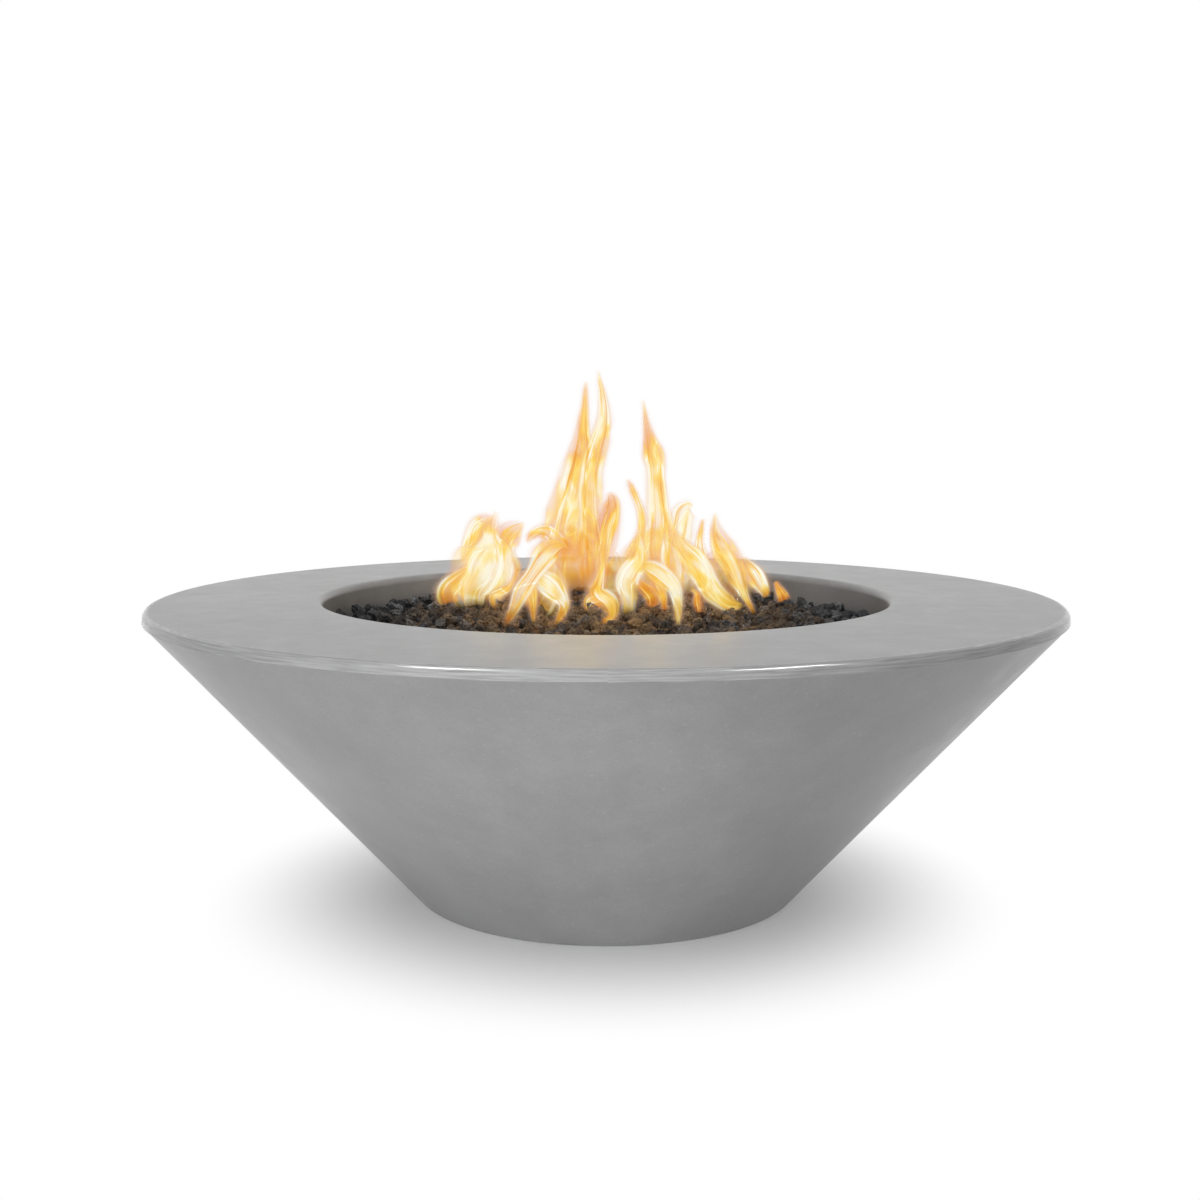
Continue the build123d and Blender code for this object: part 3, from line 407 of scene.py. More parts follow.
chance = np.random.default_rng(ROCK_SEED)
lower_layer = rock_layer(ROCK_PITCH, 1.0, chance)
upper_layer = rock_layer(ROCK_PITCH, TOP_LAYER_SHARE, chance)
rock_spot = np.concatenate([lower_layer, upper_layer])
rock_lift = np.repeat([0.0, TOP_LAYER_LIFT], [len(lower_layer), len(upper_layer)])
rock_size = ROCK_RADIUS * chance.uniform(*ROCK_SIZE_SHARES, len(rock_spot))
inside = np.hypot(*rock_spot.T) + rock_size < OPENING_RADIUS - WALL_GAP
rock_spot, rock_lift, rock_size = rock_spot[inside], rock_lift[inside], rock_size[inside]
rock_count = len(rock_spot)

# Each rock is a ball with three waves on it, stretched, cut flat by chance planes, and left rough
ball, ball_faces = ball_of_triangles()
wave_way = chance.normal(size=(rock_count, 3, 3))
wave_phase = chance.uniform(0, 2 * np.pi, (rock_count, 3))
waves = np.sin(ROCK_WAVE * np.einsum("vk,rwk->rvw", ball, wave_way) + wave_phase[:, None])
rocks = ball[None] * (1 + ROCK_LUMP_SHARE * waves.mean(-1, keepdims=True))
rocks = rocks * chance.uniform(*ROCK_STRETCH_SHARES, (rock_count, 1, 3))
chip_way = chance.normal(size=(CHIP_COUNT, rock_count, 3))
chip_way /= np.linalg.norm(chip_way, axis=-1, keepdims=True)
chip_depth = chance.uniform(*CHIP_SHARES, (CHIP_COUNT, rock_count, 1))
for way, depth in zip(chip_way, chip_depth):
    beyond = np.maximum(np.einsum("rvk,rk->rv", rocks, way) - depth, 0)
    rocks = rocks - beyond[..., None] * way[:, None]
rocks = rocks * chance.uniform(*ROUGH_SHARES, (rock_count, len(ball), 1))
rocks = rocks * rock_size[:, None, None]
rest_height = fill_height(np.hypot(*rock_spot.T)) + rock_lift - ROCK_SINK - rocks[..., 2].min(1)
rocks = rocks + np.column_stack([rock_spot, rest_height])[:, None]
rock_faces = (ball_faces[None] + len(ball) * np.arange(rock_count)[:, None, None]).reshape(-1, 3)

crushed_lava, tree, shader = new_material("crushed_lava_rock", {"IOR": 1.45, "Specular IOR Level": 0.15})
place = add_node(tree, "ShaderNodeTexCoord").outputs["Object"]
rock_tone = add_node(tree, "ShaderNodeAttribute", {"attribute_name": "rock_tone"})
ash = add_node(tree, "ShaderNodeTexNoise", {"Scale": 1 / ASH_SIZE, "Detail": 4.0, "Roughness": 0.65},
               {"Vector": place})
pits = add_node(tree, "ShaderNodeTexVoronoi", {"Scale": 1 / PIT_SPACING, "Randomness": 1.0},
                {"Vector": place})
tone_colour = add_node(tree, "ShaderNodeValToRGB", links={"Fac": rock_tone.outputs["Fac"]},
                       stops=[(0.0, "303133"), (1.0, "8C8D8E"), (0.55, "545557"), (0.85, "6A6B6C")])
ash_share = add_node(tree, "ShaderNodeValToRGB", links={"Fac": ash.outputs[0]},
                     stops=[(0.3, 0.55), (0.72, 1.15)])
# Darker towards the middle of each pit: painted shade in the hollows of the rock
pit_painted_shade = add_node(tree, "ShaderNodeValToRGB", links={"Fac": pits.outputs["Distance"]},
                     stops=[(0.1, 0.25), (0.45, 1.05)])
# Rocks over the burner are tinted rusty brown: painted warm light from the flames, strongest near the middle
rock_painted_flame_light = add_node(tree, "ShaderNodeAttribute", {"attribute_name": "rock_painted_flame_light"})
painted_flame_light = add_node(tree, "ShaderNodeMix", {"data_type": "RGBA", 7: linear("BE986A")},
                 {0: rock_painted_flame_light.outputs["Fac"], 6: tone_colour.outputs[0]})
ashen = add_node(tree, "ShaderNodeMix", {"data_type": "RGBA", "blend_type": "MULTIPLY", 0: 1.0},
                 {6: painted_flame_light.outputs[2], 7: ash_share.outputs[0]})
pit_shaded = add_node(tree, "ShaderNodeMix", {"data_type": "RGBA", "blend_type": "MULTIPLY", 0: 1.0},
                  {6: ashen.outputs[2], 7: pit_painted_shade.outputs[0]})
tree.links.new(pit_shaded.outputs[2], shader.inputs["Base Color"])
rock_gloss = add_node(tree, "ShaderNodeValToRGB", links={"Fac": ash.outputs[0]},
                      stops=[(0.3, 0.95), (0.7, 0.75)])
tree.links.new(rock_gloss.outputs[0], shader.inputs["Roughness"])
pit_bump = add_node(tree, "ShaderNodeBump", {"Strength": 1.0, "Distance": 0.003},
                    {"Height": pits.outputs["Distance"]})
ash_bump = add_node(tree, "ShaderNodeBump", {"Strength": 0.9, "Distance": 0.0035},
                    {"Height": ash.outputs[0], "Normal": pit_bump.outputs[0]})
tree.links.new(ash_bump.outputs[0], shader.inputs["Normal"])

lava_rocks = add_piece("crushed_lava_rocks", rocks, rock_faces, crushed_lava, smooth_angle=ROCK_SMOOTH_ANGLE)
tone = lava_rocks.data.attributes.new("rock_tone", "FLOAT", "POINT")
tone.data.foreach_set("value", np.repeat(chance.random(rock_count) ** TONE_POWER, len(ball)))
# Painted flame light on the rocks: full inside the inner radius, none past the outer, its share set per rock
# by chance
inner_flame_paint, outer_flame_paint = PAINTED_FLAME_LIGHT_RADII
flame_paint_share = np.clip((outer_flame_paint - np.hypot(*rock_spot.T)) / (outer_flame_paint - inner_flame_paint), 0, 1)
flame_paint_share = flame_paint_share * chance.uniform(*PAINTED_FLAME_LIGHT_SHARES, rock_count)
flame_paint_mark = lava_rocks.data.attributes.new("rock_painted_flame_light", "FLOAT", "POINT")
flame_paint_mark.data.foreach_set("value", np.repeat(flame_paint_share, len(ball)))
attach(lava_rocks, "fire_pit")
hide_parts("lava_rocks")
finish_nodes(crushed_lava, "lava_rock_fill")


# Gas pipe and screwed fittings
# Black malleable iron pipe, elbows and a coupling, from the inlet under the bowl to the valve and the burner.
# Rolled and oiled, so nearly black, with a dull skin and a fine casting grain.
CASTING_GRAIN = 0.0016


def mottled_material(name, settings, size, noise, colours, glosses):
    """Material whose colour and roughness each follow a ramp over one noise, with patches of size metres."""
    made, tree, shader = new_material(name, settings)
    place = add_node(tree, "ShaderNodeTexCoord").outputs["Object"]
    mottle = add_node(tree, "ShaderNodeTexNoise", {"Scale": 1 / size, **noise}, {"Vector": place})
    colour = add_node(tree, "ShaderNodeValToRGB", links={"Fac": mottle.outputs[0]}, stops=colours)
    gloss = add_node(tree, "ShaderNodeValToRGB", links={"Fac": mottle.outputs[0]}, stops=glosses)
    tree.links.new(colour.outputs[0], shader.inputs["Base Color"])
    tree.links.new(gloss.outputs[0], shader.inputs["Roughness"])
    return made, tree, shader, place


black_iron, tree, shader, place = mottled_material(
    "oiled_black_iron", {"Metallic": 0.7, "Specular IOR Level": 0.4},
    size=0.020, noise={"Detail": 4.0, "Roughness": 0.6},
    colours=[(0.35, "232325"), (0.7, "37342F")], glosses=[(0.3, 0.42), (0.7, 0.62)])
casting = add_node(tree, "ShaderNodeTexNoise", {"Scale": 1 / CASTING_GRAIN, "Detail": 2.0}, {"Vector": place})
iron_bump = add_node(tree, "ShaderNodeBump", {"Strength": 0.3, "Distance": 0.0003},
                     {"Height": casting.outputs[0]})
tree.links.new(iron_bump.outputs[0], shader.inputs["Normal"])
finish_nodes(black_iron, "riser_nipple", "pan_locknut", "riser_elbow", "inlet_nipple", "upper_supply_elbow",
             "supply_pipe", "lower_supply_elbow", "drop_pipe", "inlet_coupling")

# The feed tube is drawn aluminium, bent by hand, bright with a dull oxide bloom in patches
drawn_aluminium, *_ = mottled_material(
    "drawn_aluminium", {"Metallic": 1.0}, size=0.025, noise={"Detail": 3.0},
    colours=[(0.35, "C4C5C7"), (0.7, "AFB0B1")], glosses=[(0.3, 0.3), (0.7, 0.45)])
finish_nodes(drawn_aluminium, "feed_tube")

# The pan gasket is a cut ring of black fibre rubber, dusty on its edge
fibre_rubber, *_ = mottled_material(
    "black_fibre_rubber", {"IOR": 1.5}, size=0.002, noise={"Detail": 3.0},
    colours=[(0.3, "1C1C1C"), (0.75, "34322F")], glosses=[(0.3, 0.7), (0.7, 0.9)])
finish_nodes(fibre_rubber, "pan_gasket")


# Key valve
# A brass ball valve behind the wall, with a threaded sleeve out through it, and plastic seats and packing.
# The brass is machined from bar, so it is bright yellow, with a little tarnish in patches.
machined_brass, *_ = mottled_material(
    "machined_brass", {"Metallic": 1.0}, size=0.012, noise={"Detail": 4.0},
    colours=[(0.35, "D2B06A"), (0.75, "A98A4C")], glosses=[(0.3, 0.22), (0.7, 0.38)])
finish_nodes(machined_brass, "burner_flare_fitting", "burner_flare_nut", "valve_flare_nut",
             "valve_flare_fitting", "valve_body", "valve_tailpiece", "valve_stem", "packing_nut",
             "valve_sleeve", "sleeve_locknut")

# Seats and packing are turned from white, waxy fluoroplastic rod
turned_ptfe, *_ = mottled_material(
    "turned_ptfe", {"IOR": 1.36, "Subsurface Weight": 0.1}, size=0.004, noise={"Detail": 2.0},
    colours=[(0.3, "E9E8E4"), (0.7, "F1F0ED")], glosses=[(0.3, 0.4), (0.7, 0.5)])
finish_nodes(turned_ptfe, "valve_seats", "stem_packing")

# The escutcheon, the ball and the loose key are chrome on brass or steel, with faint handling marks
chrome_plate, *_ = mottled_material(
    "chrome_plate", {"Metallic": 1.0}, size=0.009, noise={"Detail": 3.0},
    colours=[(0.3, "D6D8DB"), (0.7, "C6C8CB")], glosses=[(0.3, 0.06), (0.7, 0.16)])
finish_nodes(chrome_plate, "escutcheon", "valve_ball", "key_shaft", "key_handle")


# Flames
# Burning gas over the rocks, not a piece of the object, so like the floor it is not attached to the fire
# pit's body.
# Each tongue is three crossed sheets of soot glow on one line.
# Each row is a tongue: its depth (y), veil and heat, then knots (x, z, half width) from root to tip, in mm
FLAME_TONGUES_MM = [
    (200, 1.0, 0.0, [(-45, 390, 25), (-52, 426, 33), (-55, 463, 35), (-50, 499, 33), (-45, 531, 27),
                     (-39, 564, 22), (-34, 596, 17), (-33, 624, 9), (-31, 656, 5), (-29, 685, 3),
                     (-28, 701, 1)]),
    (200, 1.0, 0.05, [(-16, 388, 15), (-18, 426, 16), (-18, 463, 17), (-22, 499, 16), (-23, 531, 16),
                      (-21, 564, 15), (-15, 592, 14), (-6, 624, 11), (-2, 653, 8), (-4, 681, 5),
                      (-8, 701, 3), (-10, 718, 1)]),
    (200, 1.0, -0.1, [(-5, 393, 9), (-3, 437, 13), (2, 473, 14), (8, 502, 12), (10, 524, 9), (4, 538, 2)]),
    (200, 1.0, 0.1, [(31, 392, 11), (42, 430, 16), (51, 459, 9), (55, 484, 5), (52, 510, 5), (45, 531, 4),
                     (38, 546, 3), (32, 556, 1)]),
    (200, 1.0, 0.0, [(80, 386, 20), (82, 423, 24), (80, 459, 23), (80, 492, 19), (78, 520, 14),
                     (76, 549, 12), (75, 574, 13), (72, 592, 14), (67, 614, 8), (62, 635, 4), (58, 660, 2),
                     (55, 674, 1)]),
    (200, 1.0, 0.22, [(108, 386, 15), (104, 423, 22), (105, 459, 19), (112, 484, 16), (116, 506, 14),
                      (123, 517, 6), (131, 516, 1)]),
    (79, 1.0, 0.32, [(-185, 381, 20), (-186, 402, 30), (-176, 421, 37), (-168, 442, 39), (-162, 459, 27),
                     (-162, 479, 12), (-159, 497, 7), (-152, 518, 1)]),
    (200, 1.0, 0.0, [(-199, 384, 11), (-202, 423, 8), (-199, 452, 14), (-191, 477, 16), (-181, 489, 14),
                     (-165, 501, 3)]),
    (200, 1.0, -0.05, [(-157, 393, 22), (-153, 423, 25), (-151, 448, 15), (-147, 466, 16), (-137, 479, 14),
                       (-119, 493, 1)]),
    (107, 1.0, 0.0, [(-220, 381, 14), (-222, 399, 18), (-210, 414, 14), (-194, 429, 8), (-181, 444, 2)]),
    (200, 1.0, -0.05, [(-56, 444, 11), (-77, 473, 11), (-95, 479, 8), (-111, 471, 5), (-117, 460, 1)]),
    (-131, 1.0, 0.08, [(-130, 381, 2), (-119, 402, 7), (-108, 427, 11), (-95, 447, 10), (-77, 473, 14),
                       (-64, 483, 9), (-51, 485, 1)]),
    (-117, 1.0, 0.22, [(-65, 381, 3), (-55, 403, 5), (-58, 416, 9), (-73, 432, 14), (-93, 445, 9),
                       (-106, 448, 2)]),
    (-108, 1.0, 0.05, [(-94, 381, 2), (-95, 406, 4), (-99, 425, 8), (-103, 441, 5), (-104, 449, 1)]),
    (60, 1.0, -0.05, [(-157, 381, 2), (-159, 395, 5), (-148, 402, 5), (-133, 413, 3), (-120, 444, 1)]),
    (-108, 1.0, -0.05, [(-7, 381, 3), (8, 391, 6), (4, 409, 11), (-10, 422, 9), (-7, 441, 5), (-4, 463, 3),
                        (-2, 486, 1)]),
    (24, 1.0, -0.05, [(-25, 381, 2), (-22, 393, 7), (-8, 398, 8), (4, 407, 2)]),
    (-28, 1.0, 0.3, [(31, 381, 9), (31, 406, 10), (28, 425, 14), (34, 442, 14), (44, 458, 10), (46, 478, 4),
                     (45, 493, 1)]),
    (51, 1.0, -0.1, [(66, 381, 5), (65, 400, 9), (53, 411, 6), (38, 424, 2)]),
    (-122, 1.0, 0.3, [(93, 381, 2), (92, 407, 5), (88, 429, 8), (73, 445, 11), (57, 455, 9), (45, 458, 2)]),
    (24, 1.0, -0.15, [(82, 381, 3), (79, 403, 5), (72, 420, 7), (64, 434, 2)]),
    (71, 1.0, 0.12, [(197, 381, 3), (177, 383, 10), (154, 401, 13), (139, 425, 16), (125, 446, 16),
                     (108, 466, 10), (97, 492, 2)]),
    (11, 1.0, -0.1, [(129, 381, 2), (128, 391, 4), (126, 405, 3), (117, 415, 1)]),
    (-25, 1.0, 0.0, [(203, 381, 2), (193, 399, 4), (181, 422, 8), (171, 448, 12), (158, 471, 14),
                     (150, 491, 8), (148, 507, 3), (148, 520, 1)]),
    (200, 1.0, 0.0, [(146, 406, 9), (145, 434, 10), (142, 459, 6), (143, 481, 3), (145, 499, 1)]),
    (182, 1.0, -0.05, [(240, 381, 3), (233, 396, 9), (223, 414, 12), (213, 428, 9), (203, 442, 2)]),
    (145, 1.0, -0.2, [(261, 381, 8), (257, 392, 6), (252, 403, 2), (250, 410, 1)]),
    (200, 0.65, 0.3, [(79, 386, 44), (80, 415, 54), (80, 441, 51), (80, 466, 33), (80, 484, 7)]),
    (200, 0.45, -0.15, [(-41, 386, 33), (-41, 415, 40), (-41, 444, 36), (-45, 473, 22), (-45, 495, 4)]),
    (122, 0.45, 0.15, [(-178, 381, 40), (-177, 406, 46), (-174, 430, 38), (-171, 451, 18), (-170, 465, 3)]),
    (122, 0.45, 0.0, [(170, 381, 39), (167, 406, 46), (167, 430, 35), (165, 451, 17), (163, 465, 2)]),
    (11, 0.45, 0.0, [(-95, 381, 30), (-88, 401, 33), (-82, 428, 27), (-78, 448, 10), (-77, 461, 1)]),
    (65, 0.45, 0.0, [(5, 381, 27), (9, 402, 31), (12, 426, 24), (15, 446, 10), (17, 460, 1)]),
]
FLAME_ROWS = 56
FLAME_COLUMNS = 17
FLAME_TURNS = np.radians([0, 58, -58])
EDGE_SHARE = 0.66
HALO_WIDTH = 0.011
TIP_HALF_WIDTH = 0.0022
FLAME_FULLNESS = 1.16
FLAME_BOW_SHARE = 0.55
BOW_TURN = 3.0
FLAME_DEPTH_SWAY = 0.012
SWAY_TURN = 7
SWAY_SHIFT = 40
FOLD_ACROSS = 0.050
FOLD_ALONG = 0.140
PATCH_ACROSS = 0.045
PATCH_ALONG = 0.085
SHEET_STEP = 0.37
PATCH_STEP = 10
FOLD_STEP = 20
FLAME_LIGHTS = (1.7, 0.3)
FLAME_GLOSS = 2.6
GLOSS_OPACITY = 0.3


def flame_sheets(depth, veil, heat, line):
    """Crossed sheets on one smooth line of (x, z, half width) knots: Catmull-Rom along the line,
    and across it a bow of cosine shape, square to the line."""
    knots = np.array(line) / 1000
    share = np.linspace(0, len(knots) - 1, FLAME_ROWS)
    first = np.minimum(share.astype(int), len(knots) - 2)
    part = (share - first)[:, None]
    ends = np.vstack([2 * knots[:1] - knots[1:2], knots, 2 * knots[-1:] - knots[-2:-1]])
    a, b, c, d = (ends[first + step] for step in range(4))
    smooth = b + part / 2 * (c - a + part * (2 * a - 5 * b + 4 * c - d + part * (3 * (b - c) + d - a)))
    way = np.gradient(smooth[:, :2], axis=0)
    way /= np.linalg.norm(way, axis=1, keepdims=True)
    sway = depth / 1000 + FLAME_DEPTH_SWAY * np.sin(SWAY_TURN * share / len(knots) + SWAY_SHIFT * knots[0, 0])
    middle = np.stack([smooth[:, 0], sway, smooth[:, 1]], axis=-1)[None, :, None]
    turn = FLAME_TURNS[:, None]
    flat_way = 0 * way[:, 1]
    side = np.stack([np.cos(turn) * way[:, 1], np.sin(turn) + flat_way, -np.cos(turn) * way[:, 0]], axis=-1)
    across = np.linspace(-1, 1, FLAME_COLUMNS)[None, None, :, None]
    half = FLAME_FULLNESS * np.maximum(smooth[:, 2], TIP_HALF_WIDTH)[None, :, None, None]
    body = np.clip(across / EDGE_SHARE, -1, 1)
    reach = half * body + HALO_WIDTH * (across - EDGE_SHARE * body) / (1 - EDGE_SHARE)
    bow = np.stack([-np.sin(turn) * way[:, 1], np.cos(turn) + flat_way, np.sin(turn) * way[:, 0]], axis=-1)
    points = middle + reach * side[:, :, None]
    points = points + FLAME_BOW_SHARE * half * np.cos(BOW_TURN * across) * bow[:, :, None]
    flat = 0 * points[..., 0]
    return points, reach[..., 0] + flat, veil + flat, heat + flat


made = [flame_sheets(*tongue) for tongue in FLAME_TONGUES_MM]
sheets, sideways, flame_veil, flame_heat = (np.concatenate(parts) for parts in zip(*made))
sheet_count = len(sheets)
along = np.linalg.norm(np.diff(sheets[:, :, FLAME_COLUMNS // 2], axis=1), axis=-1).cumsum(1)
along = np.pad(along, ((0, 0), (1, 0)))[:, :, None] + 0 * sheets[..., 0]
sheet_number = SHEET_STEP * np.arange(sheet_count)[:, None, None] + 0 * along
flame_place = np.stack([sideways, along, sheet_number], axis=-1)
flame_rise = np.linspace(0, 1, FLAME_ROWS)[None, :, None] + 0 * along
flame_edge = np.abs(np.linspace(-1, 1, FLAME_COLUMNS)) + 0 * along

burning_gas = bpy.data.materials.new("burning_gas")
burning_gas.use_nodes = True
tree = burning_gas.node_tree
tree.nodes.clear()
place = add_node(tree, "ShaderNodeAttribute", {"attribute_name": "flame_place"}).outputs["Vector"]
veil_share = add_node(tree, "ShaderNodeAttribute", {"attribute_name": "flame_veil"}).outputs["Fac"]
own_heat = add_node(tree, "ShaderNodeAttribute", {"attribute_name": "flame_heat"}).outputs["Fac"]
rise = add_node(tree, "ShaderNodeAttribute", {"attribute_name": "flame_rise"}).outputs["Fac"]
edge = add_node(tree, "ShaderNodeAttribute", {"attribute_name": "flame_edge"}).outputs["Fac"]
# Soot glow: broad patches of heat, and bright folds that run along the tongue
patch_place = add_node(tree, "ShaderNodeMapping",
                       {"Scale": (1 / PATCH_ACROSS, 1 / PATCH_ALONG, PATCH_STEP)}, {"Vector": place})
patches = add_node(tree, "ShaderNodeTexNoise", {"Scale": 1.0, "Detail": 1.0, "Distortion": 0.9},
                   {"Vector": patch_place.outputs[0]})
fold_place = add_node(tree, "ShaderNodeMapping", {"Scale": (1 / FOLD_ACROSS, 1 / FOLD_ALONG, FOLD_STEP)},
                      {"Vector": place})
fold_noise = add_node(tree, "ShaderNodeTexNoise", {"Scale": 1.0, "Detail": 0.0, "Distortion": 0.8},
                      {"Vector": fold_place.outputs[0]})
from_fold = add_node(tree, "ShaderNodeMath", {"operation": "SUBTRACT", 1: 0.5}, {0: fold_noise.outputs[0]})
off_fold = add_node(tree, "ShaderNodeMath", {"operation": "ABSOLUTE"}, {0: from_fold.outputs[0]})
fold = add_node(tree, "ShaderNodeMapRange", {"From Max": 0.045, "To Min": 1.0, "To Max": 0.0},
                {"Value": off_fold.outputs[0]})
wavy = add_node(tree, "ShaderNodeMath", {"operation": "MULTIPLY_ADD", 1: 0.5, 2: -0.25},
                {0: patches.outputs[0]})
ragged = add_node(tree, "ShaderNodeMath", {"operation": "ADD"}, {0: edge, 1: wavy.outputs[0]})
veil = add_node(tree, "ShaderNodeValToRGB", links={"Fac": ragged.outputs[0]},
                stops=[(0.0, 0.6), (1.0, 0.0), (0.5, 0.66), (0.6, 0.76),
                       (0.69, 0.36), (0.78, 0.13), (0.88, 0.0)])
inside = add_node(tree, "ShaderNodeValToRGB", links={"Fac": ragged.outputs[0]},
                  stops=[(0.58, 1.0), (0.74, 0.0)])
line_heat = add_node(tree, "ShaderNodeValToRGB", links={"Fac": ragged.outputs[0]},
                     stops=[(0.0, 0.14), (1.0, 0.0), (0.42, 0.04), (0.55, 0.2), (0.6, 0.2), (0.66, 0.0)])
rise_heat = add_node(tree, "ShaderNodeValToRGB", links={"Fac": rise},
                     stops=[(0.0, 0.0), (1.0, 0.3), (0.14, 0.2), (0.34, 0.58), (0.5, 0.48), (0.75, 0.38)])
patch_heat = add_node(tree, "ShaderNodeMath", {"operation": "MULTIPLY_ADD", 1: 2.7, 2: -1.39},
                      {0: patches.outputs[0]})
inner_fold = add_node(tree, "ShaderNodeMath", {"operation": "MULTIPLY"},
                      {0: fold.outputs[0], 1: inside.outputs[0]})
fold_heat = add_node(tree, "ShaderNodeMath", {"operation": "MULTIPLY_ADD", 1: 0.24},
                     {0: inner_fold.outputs[0], 2: line_heat.outputs[0]})
base_heat = add_node(tree, "ShaderNodeMath", {"operation": "ADD"},
                     {0: rise_heat.outputs[0], 1: patch_heat.outputs[0]})
tongue_heat = add_node(tree, "ShaderNodeMath", {"operation": "ADD"}, {0: base_heat.outputs[0], 1: own_heat})
heat = add_node(tree, "ShaderNodeMath", {"operation": "ADD"},
                {0: tongue_heat.outputs[0], 1: fold_heat.outputs[0]})
glow = add_node(tree, "ShaderNodeValToRGB", links={"Fac": heat.outputs[0]},
                stops=[(0.0, "E57F22"), (1.0, "FFFCE8"), (0.2, "EF9A2C"), (0.42, "F9BA3E"),
                       (0.62, "FFD55C"), (0.8, "FFECA0")])
halo = add_node(tree, "ShaderNodeMix", {"data_type": "RGBA", 6: linear("EEC3A4")},
                {0: inside.outputs[0], 7: glow.outputs[0]})
thick = add_node(tree, "ShaderNodeMapRange", {"From Min": 0.34, "From Max": 0.5, "To Min": 0.5},
                 {"Value": patches.outputs[0]})
thin_veil = add_node(tree, "ShaderNodeMath", {"operation": "MULTIPLY"},
                     {0: veil.outputs[0], 1: thick.outputs[0]})
folded = add_node(tree, "ShaderNodeMath", {"operation": "MULTIPLY_ADD", 1: 0.4, "use_clamp": True},
                  {0: inner_fold.outputs[0], 2: thin_veil.outputs[0]})
fade = add_node(tree, "ShaderNodeValToRGB", links={"Fac": rise},
                stops=[(0.0, 0.0), (1.0, 0.0), (0.08, 0.42), (0.28, 0.85),
                       (0.45, 1.0), (0.72, 0.9), (0.9, 0.45)])
faded = add_node(tree, "ShaderNodeMath", {"operation": "MULTIPLY"},
                 {0: folded.outputs[0], 1: fade.outputs[0]})
opaque = add_node(tree, "ShaderNodeMath", {"operation": "MULTIPLY"}, {0: faded.outputs[0], 1: veil_share})
# A flame adds light and hides little, which shows most where the ledge mirrors it
light_path = add_node(tree, "ShaderNodeLightPath")
gloss_opacity = add_node(tree, "ShaderNodeMapRange", {"To Min": 1.0, "To Max": GLOSS_OPACITY},
                         {"Value": light_path.outputs["Is Glossy Ray"]})
opaque = add_node(tree, "ShaderNodeMath", {"operation": "MULTIPLY"},
                  {0: opaque.outputs[0], 1: gloss_opacity.outputs[0]})
seen = add_node(tree, "ShaderNodeMath", {"operation": "MAXIMUM"},
                {0: light_path.outputs["Is Camera Ray"], 1: light_path.outputs["Is Glossy Ray"]})
light = add_node(tree, "ShaderNodeMapRange",
                 {"From Max": 0.4, "To Min": FLAME_LIGHTS[0], "To Max": FLAME_LIGHTS[1]}, {"Value": rise})
gloss_light = add_node(tree, "ShaderNodeMapRange", {"To Min": 1.0, "To Max": FLAME_GLOSS},
                       {"Value": light_path.outputs["Is Glossy Ray"]})
strength = add_node(tree, "ShaderNodeMapRange", links={"Value": seen.outputs[0], "To Min": light.outputs[0],
                                                       "To Max": gloss_light.outputs[0]})
burning = add_node(tree, "ShaderNodeEmission",
                   links={"Color": halo.outputs[2], "Strength": strength.outputs[0]})
clear = add_node(tree, "ShaderNodeBsdfTransparent")
gas = add_node(tree, "ShaderNodeMixShader",
               links={0: opaque.outputs[0], 1: clear.outputs[0], 2: burning.outputs[0]})
add_node(tree, "ShaderNodeOutputMaterial", links={"Surface": gas.outputs[0]})

sheet_faces = grid_faces(FLAME_ROWS, FLAME_COLUMNS, False, False)
sheet_faces = sheet_faces[None] + FLAME_ROWS * FLAME_COLUMNS * np.arange(sheet_count)[:, None, None]
flames = add_piece("flames", sheets, sheet_faces.reshape(-1, 4), burning_gas, smooth_angle=180)
for name, kind, part, values in (
    ("flame_place", "FLOAT_VECTOR", "vector", flame_place),
    ("flame_veil", "FLOAT", "value", flame_veil),
    ("flame_heat", "FLOAT", "value", flame_heat),
    ("flame_rise", "FLOAT", "value", flame_rise),
    ("flame_edge", "FLOAT", "value", flame_edge),
):
    flames.data.attributes.new(name, kind, "POINT").data.foreach_set(part, values.ravel())
flames.visible_shadow = False
bpy.context.scene.cycles.transparent_max_bounces = 64
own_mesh(flames)


# Floor, light and camera
# A white studio floor that runs out to a white background, with broad lamps overhead, in front and behind.
# Two high strips show only in gloss, on the rim. The camera stands where the photograph's was, by the fit
# of the rim, the opening and the foot.
FLOOR_HALF = 40.0
SHADOW_RADIUS = 0.24
OPEN_FLOOR_RADIUS = 0.56
NEAR_WHITE_SHARE = 0.17
WORLD_STRENGTH = 0.24
CAMERA_PLACE = (-0.0076, -2.0935, 0.6501)
CAMERA_PITCH = math.radians(6.838)
CAMERA_LENS = 46.23
SENSOR_WIDTH = 36.0


def seen_share(tree):
    """1 for a ray from the camera, off a gloss or through glass, else 0: the largest of the three shares."""
    path = add_node(tree, "ShaderNodeLightPath").outputs
    direct = add_node(tree, "ShaderNodeMath", {"operation": "MAXIMUM"},
                      {0: path["Is Camera Ray"], 1: path["Is Glossy Ray"]})
    seen = add_node(tree, "ShaderNodeMath", {"operation": "MAXIMUM"},
                    {0: direct.outputs[0], 1: path["Is Transmission Ray"]})
    return seen.outputs[0]


studio_floor = bpy.data.materials.new("white_studio_floor")
studio_floor.use_nodes = True
tree = studio_floor.node_tree
tree.nodes.clear()
place = add_node(tree, "ShaderNodeTexCoord").outputs["Object"]
away = add_node(tree, "ShaderNodeVectorMath", {"operation": "LENGTH"}, {0: place})
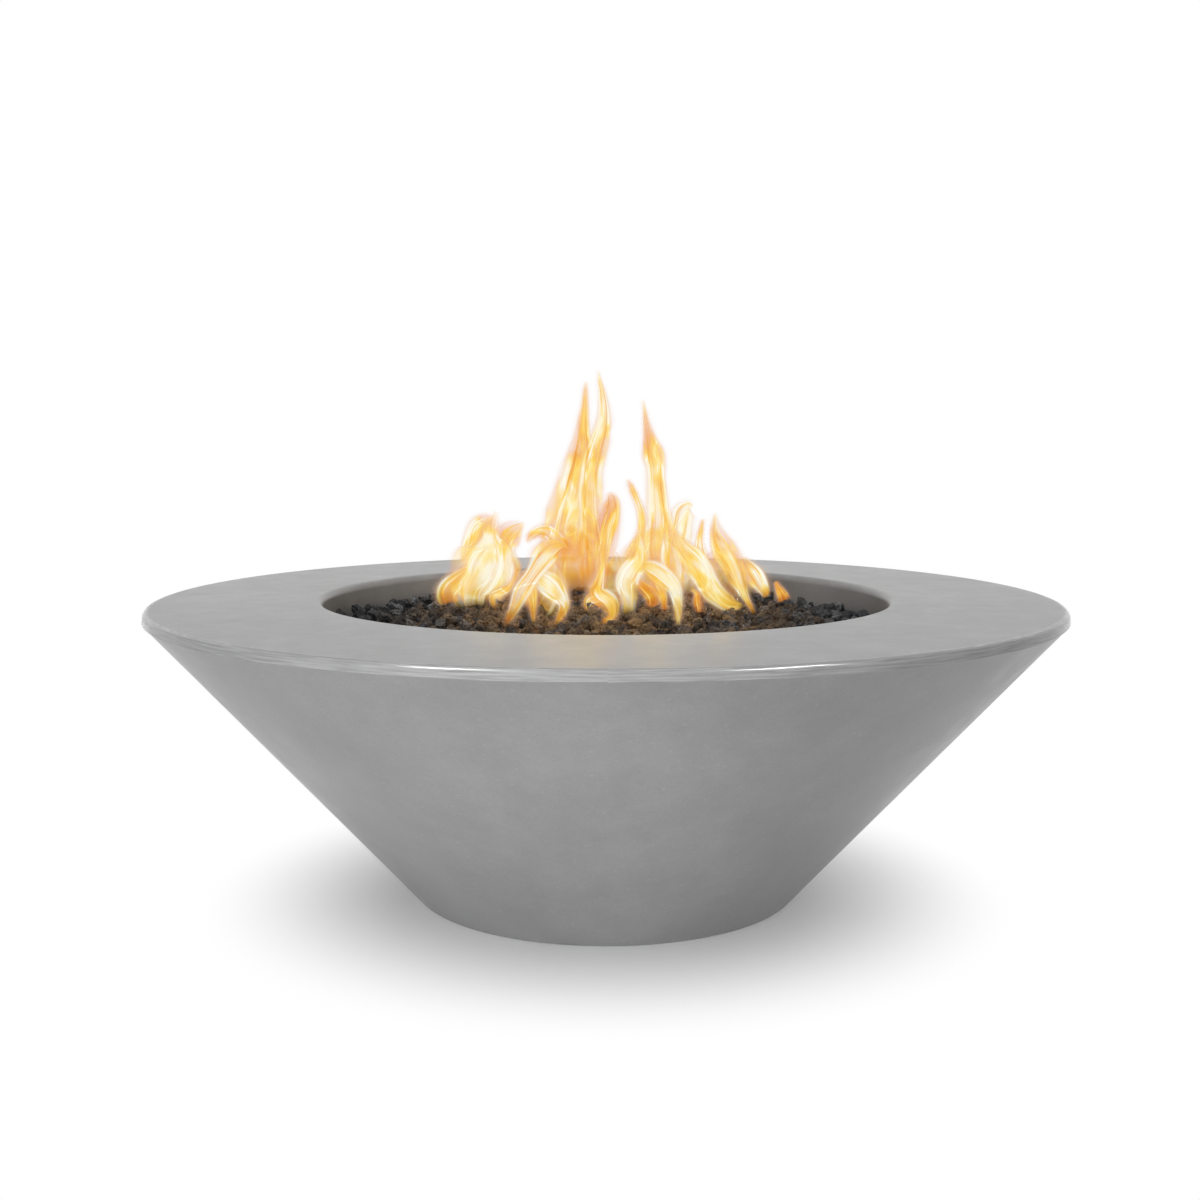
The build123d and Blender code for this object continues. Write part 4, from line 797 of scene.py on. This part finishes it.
# Seen by the camera or in gloss, the floor is its lit paint mixed with plain white glow: NEAR_WHITE_SHARE at
# SHADOW_RADIUS, all white past OPEN_FLOOR_RADIUS. This painted light thins the real shadow near the bowl and
# fades it out
far = add_node(tree, "ShaderNodeMapRange", {"interpolation_type": "SMOOTHSTEP", "From Min": SHADOW_RADIUS,
                                            "From Max": OPEN_FLOOR_RADIUS, "To Min": NEAR_WHITE_SHARE},
               {"Value": away.outputs["Value"]})
white_share = add_node(tree, "ShaderNodeMath", {"operation": "MULTIPLY"},
                       {0: seen_share(tree), 1: far.outputs[0]})
paint = add_node(tree, "ShaderNodeBsdfDiffuse", {"Color": linear("F6F6F6")})
white = add_node(tree, "ShaderNodeEmission", {"Strength": 1.0})
floor_mix = add_node(tree, "ShaderNodeMixShader", links={0: white_share.outputs[0], 1: paint.outputs[0],
                                                         2: white.outputs[0]})
add_node(tree, "ShaderNodeOutputMaterial", links={"Surface": floor_mix.outputs[0]})
floor_points = FLOOR_HALF * np.array([[(-1, -1, 0), (1, -1, 0)], [(-1, 1, 0), (1, 1, 0)]], dtype=float)
add_piece("studio_floor", floor_points, grid_faces(2, 2, False, False), studio_floor)

world = bpy.data.worlds.new("white_room")
world.use_nodes = True
bpy.context.scene.world = world
tree = world.node_tree
tree.nodes.clear()
strength = add_node(tree, "ShaderNodeMapRange", {"To Min": WORLD_STRENGTH, "To Max": 1.0},
                    {"Value": seen_share(tree)})
room = add_node(tree, "ShaderNodeBackground", {"Color": linear("FFFFFF")}, {"Strength": strength.outputs[0]})
add_node(tree, "ShaderNodeOutputWorld", links={"Surface": room.outputs[0]})


def add_lamp(name, place, aim, width, height, power, in_gloss=True, in_matt=True, spread=180):
    """Rectangular area lamp at place, its width level, turned to shine at aim in a beam of spread degrees.
    in_gloss and in_matt say which surfaces it shows on."""
    lamp = bpy.data.lights.new(name, "AREA")
    lamp.shape = "RECTANGLE"
    lamp.size = width
    lamp.size_y = height
    lamp.energy = power
    lamp.spread = math.radians(spread)
    holder = bpy.data.objects.new(name, lamp)
    holder.visible_glossy = in_gloss
    holder.visible_diffuse = in_matt
    bpy.context.collection.objects.link(holder)
    way = np.array(aim) - np.array(place)
    holder.location = place
    tilt = math.acos(-way[2] / np.linalg.norm(way))
    holder.rotation_euler = (tilt, 0, math.atan2(way[1], way[0]) - math.pi / 2)


add_lamp("overhead_softbox", place=(-0.25, -0.4, 2.6), aim=(0, 0, 0.3), width=2.4, height=2.4, power=21)
add_lamp("front_softbox", place=(-0.35, -2.8, 0.5), aim=(-0.1, 0, 0.22), width=0.8, height=0.7, power=2.05,
         in_gloss=False, spread=31)
add_lamp("left_strip", place=(-1.1, -1.06, 2.34), aim=(-0.16, -0.59, 0.4), width=0.85, height=0.4, power=50,
         in_matt=False)
add_lamp("right_strip", place=(1.23, -0.98, 2.29), aim=(0.18, -0.58, 0.4), width=1.0, height=0.4, power=62,
         in_matt=False)
add_lamp("back_softbox", place=(0.5, 3.0, 0.9), aim=(0, 0, 0.25), width=2.4, height=1.0, power=25,
         in_gloss=False)

lens = bpy.data.cameras.new("photo_camera")
lens.lens = CAMERA_LENS
lens.sensor_width = SENSOR_WIDTH
camera = bpy.data.objects.new("photo_camera", lens)
bpy.context.collection.objects.link(camera)
camera.location = CAMERA_PLACE
camera.rotation_euler = (math.pi / 2 - CAMERA_PITCH, 0, 0)
bpy.context.scene.camera = camera
bpy.context.scene.view_settings.view_transform = "Standard"
